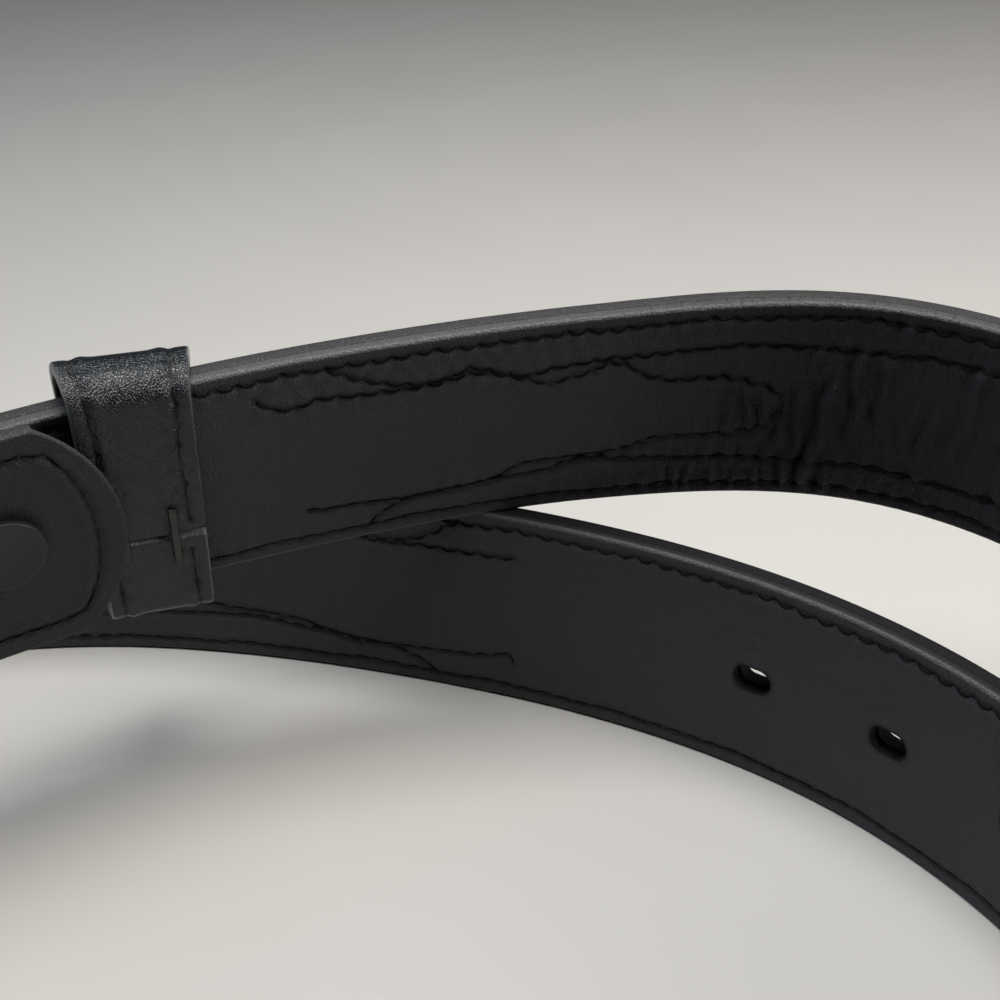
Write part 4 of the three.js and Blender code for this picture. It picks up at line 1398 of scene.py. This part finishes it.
# %% Metal
def make_steel(name, colour, pale_part, rough, brush):
    """Steel with fine streaks along x. The brush gives the width of a streak in millimetres."""
    finish = new_finish(name)
    place = add_node(finish, "ShaderNodeTexCoord", "Object", {})
    pulled = {"Vector": place, "Scale": (0.06, 1.0, 1.0)}
    stretch = add_node(finish, "ShaderNodeMapping", "Vector", pulled)
    brushing = {"Vector": stretch, "Scale": per_metre(brush), "Detail": 3.0}
    lines = add_node(finish, "ShaderNodeTexNoise", "Fac", brushing)
    cloudy = {"Vector": place, "Scale": per_metre(3.0), "Detail": 3.0}
    cloud = add_node(finish, "ShaderNodeTexNoise", "Fac", cloudy)
    tones = {"Factor": cloud, "A": linear(colour), "B": linear(pale_part)}
    tone = add_node(finish, "ShaderNodeMix", "Result", tones, data_type="RGBA")
    swing = {"Value": lines, "To Min": rough - 0.1, "To Max": rough + 0.12}
    gloss = add_node(finish, "ShaderNodeMapRange", "Result", swing)
    relief = {"Height": lines, "Strength": 0.3, "Distance": 0.03 * MILLIMETRE}
    scratched = add_node(finish, "ShaderNodeBump", "Normal", relief)
    looks = {"Base Color": tone, "Metallic": 1.0, "Roughness": gloss, "Normal": scratched}
    shader = add_node(finish, "ShaderNodeBsdfPrincipled", "BSDF", looks)
    add_node(finish, "ShaderNodeOutputMaterial", None, {"Surface": shader})
    return finish


def make_enamel():
    finish = new_finish("black_enamel")
    place = add_node(finish, "ShaderNodeTexCoord", "Object", {})
    dimples = {"Vector": place, "Scale": per_metre(0.7), "Detail": 2.0}
    peel = add_node(finish, "ShaderNodeTexNoise", "Fac", dimples)
    relief = {"Height": peel, "Strength": 0.5, "Distance": 0.04 * MILLIMETRE}
    soft = add_node(finish, "ShaderNodeBump", "Normal", relief)
    tones = {"Factor": peel, "A": linear("#16181a"), "B": linear("#1d2022")}
    tone = add_node(finish, "ShaderNodeMix", "Result", tones, data_type="RGBA")
    looks = {"Base Color": tone, "Roughness": 0.5, "Specular IOR Level": 0.4, "Normal": soft}
    shader = add_node(finish, "ShaderNodeBsdfPrincipled", "BSDF", looks)
    add_node(finish, "ShaderNodeOutputMaterial", None, {"Surface": shader})
    return finish


cover(snap, make_enamel())
dark_wire = make_steel("blackened_steel_wire", colour="#2b2f2d", pale_part="#4c514d", rough=0.42, brush=0.3)
for wire in staples:
    cover(wire, dark_wire)
brushed = make_steel("brushed_steel", colour="#8f9290", pale_part="#a5a7a4", rough=0.34, brush=0.25)
for part in buckle_parts:
    cover(part, brushed)

# %% [markdown]
# The belt stands on pale paper that fills the background. The main lamp is a soft one, half a metre above,
# so that the top edges shine, the walls of the coil stay dark, and the paper gets dimmer farther away.
# Wide, weak ones from the right lift the leather near the buckle, and a cool one from the left lifts the
# run with the holes. The paper is matt, and its faint clouds keep the wide pale areas from looking empty.

# %% Floor
def make_paper():
    finish = new_finish("white_paper")
    place = add_node(finish, "ShaderNodeTexCoord", "Object", {})
    clouds = {"Vector": place, "Scale": per_metre(60.0), "Detail": 2.0}
    tooth = add_node(finish, "ShaderNodeTexNoise", "Fac", clouds)
    tones = {"Factor": tooth, "A": linear("#b7b4af"), "B": linear("#bdbab5")}
    tone = add_node(finish, "ShaderNodeMix", "Result", tones, data_type="RGBA")
    looks = {"Base Color": tone, "Roughness": 0.6, "Specular IOR Level": 0.3}
    shader = add_node(finish, "ShaderNodeBsdfPrincipled", "BSDF", looks)
    add_node(finish, "ShaderNodeOutputMaterial", None, {"Surface": shader})
    return finish


bpy.ops.mesh.primitive_plane_add(size=6.0, location=(0, 0, -0.0002))
floor = bpy.context.object
floor.name = "floor"
cover(floor, make_paper())


# %% Light
# Turn and rise are the degrees from +X and above the floor, away and size are metres, power is in watts.
Lamp = namedtuple("Lamp", "name turn rise away size power colour")
LAMPS = [
    Lamp("lamp_over", 0.0, 90.0, 0.5, 0.3, 3.5, "#fffefb"),
    Lamp("lamp_right", 0.0, 22.0, 0.7, 0.45, 4.1, "#fffcfc"),
    Lamp("lamp_back_right", 45.0, 22.0, 1.0, 0.6, 0.7, "#fffcf8"),
    Lamp("lamp_left", 180.0, 55.0, 1.0, 0.6, 2.1, "#c8deff"),
]
LAMP_TARGET = Vector((0.03, 0.08, 0.03))


def add_lamp(lamp):
    """A square soft box on a sphere round the target, turned to it."""
    light = bpy.data.lights.new(lamp.name, "AREA")
    light.size = lamp.size
    light.energy = lamp.power
    light.color = linear(lamp.colour)[:3]
    turn, rise = math.radians(lamp.turn), math.radians(lamp.rise)
    level = Vector((math.cos(turn), math.sin(turn), 0)) * math.cos(rise)
    away = (level + Vector((0, 0, math.sin(rise)))) * lamp.away
    stand = bpy.data.objects.new(lamp.name, light)
    stand.location = LAMP_TARGET + away
    stand.rotation_euler = (-away).to_track_quat("-Z", "Y").to_euler()
    bpy.context.scene.collection.objects.link(stand)


for lamp in LAMPS:
    add_lamp(lamp)
print("Lamps in watts:", {lamp.name: lamp.power for lamp in LAMPS})

room = bpy.data.worlds.new("room")
room.use_nodes = True
background = room.node_tree.nodes["Background"]
background.inputs["Color"].default_value = linear("#f4f3f0")
background.inputs["Strength"].default_value = 0.02
bpy.context.scene.world = room
bpy.context.scene.view_settings.view_transform = "Standard"
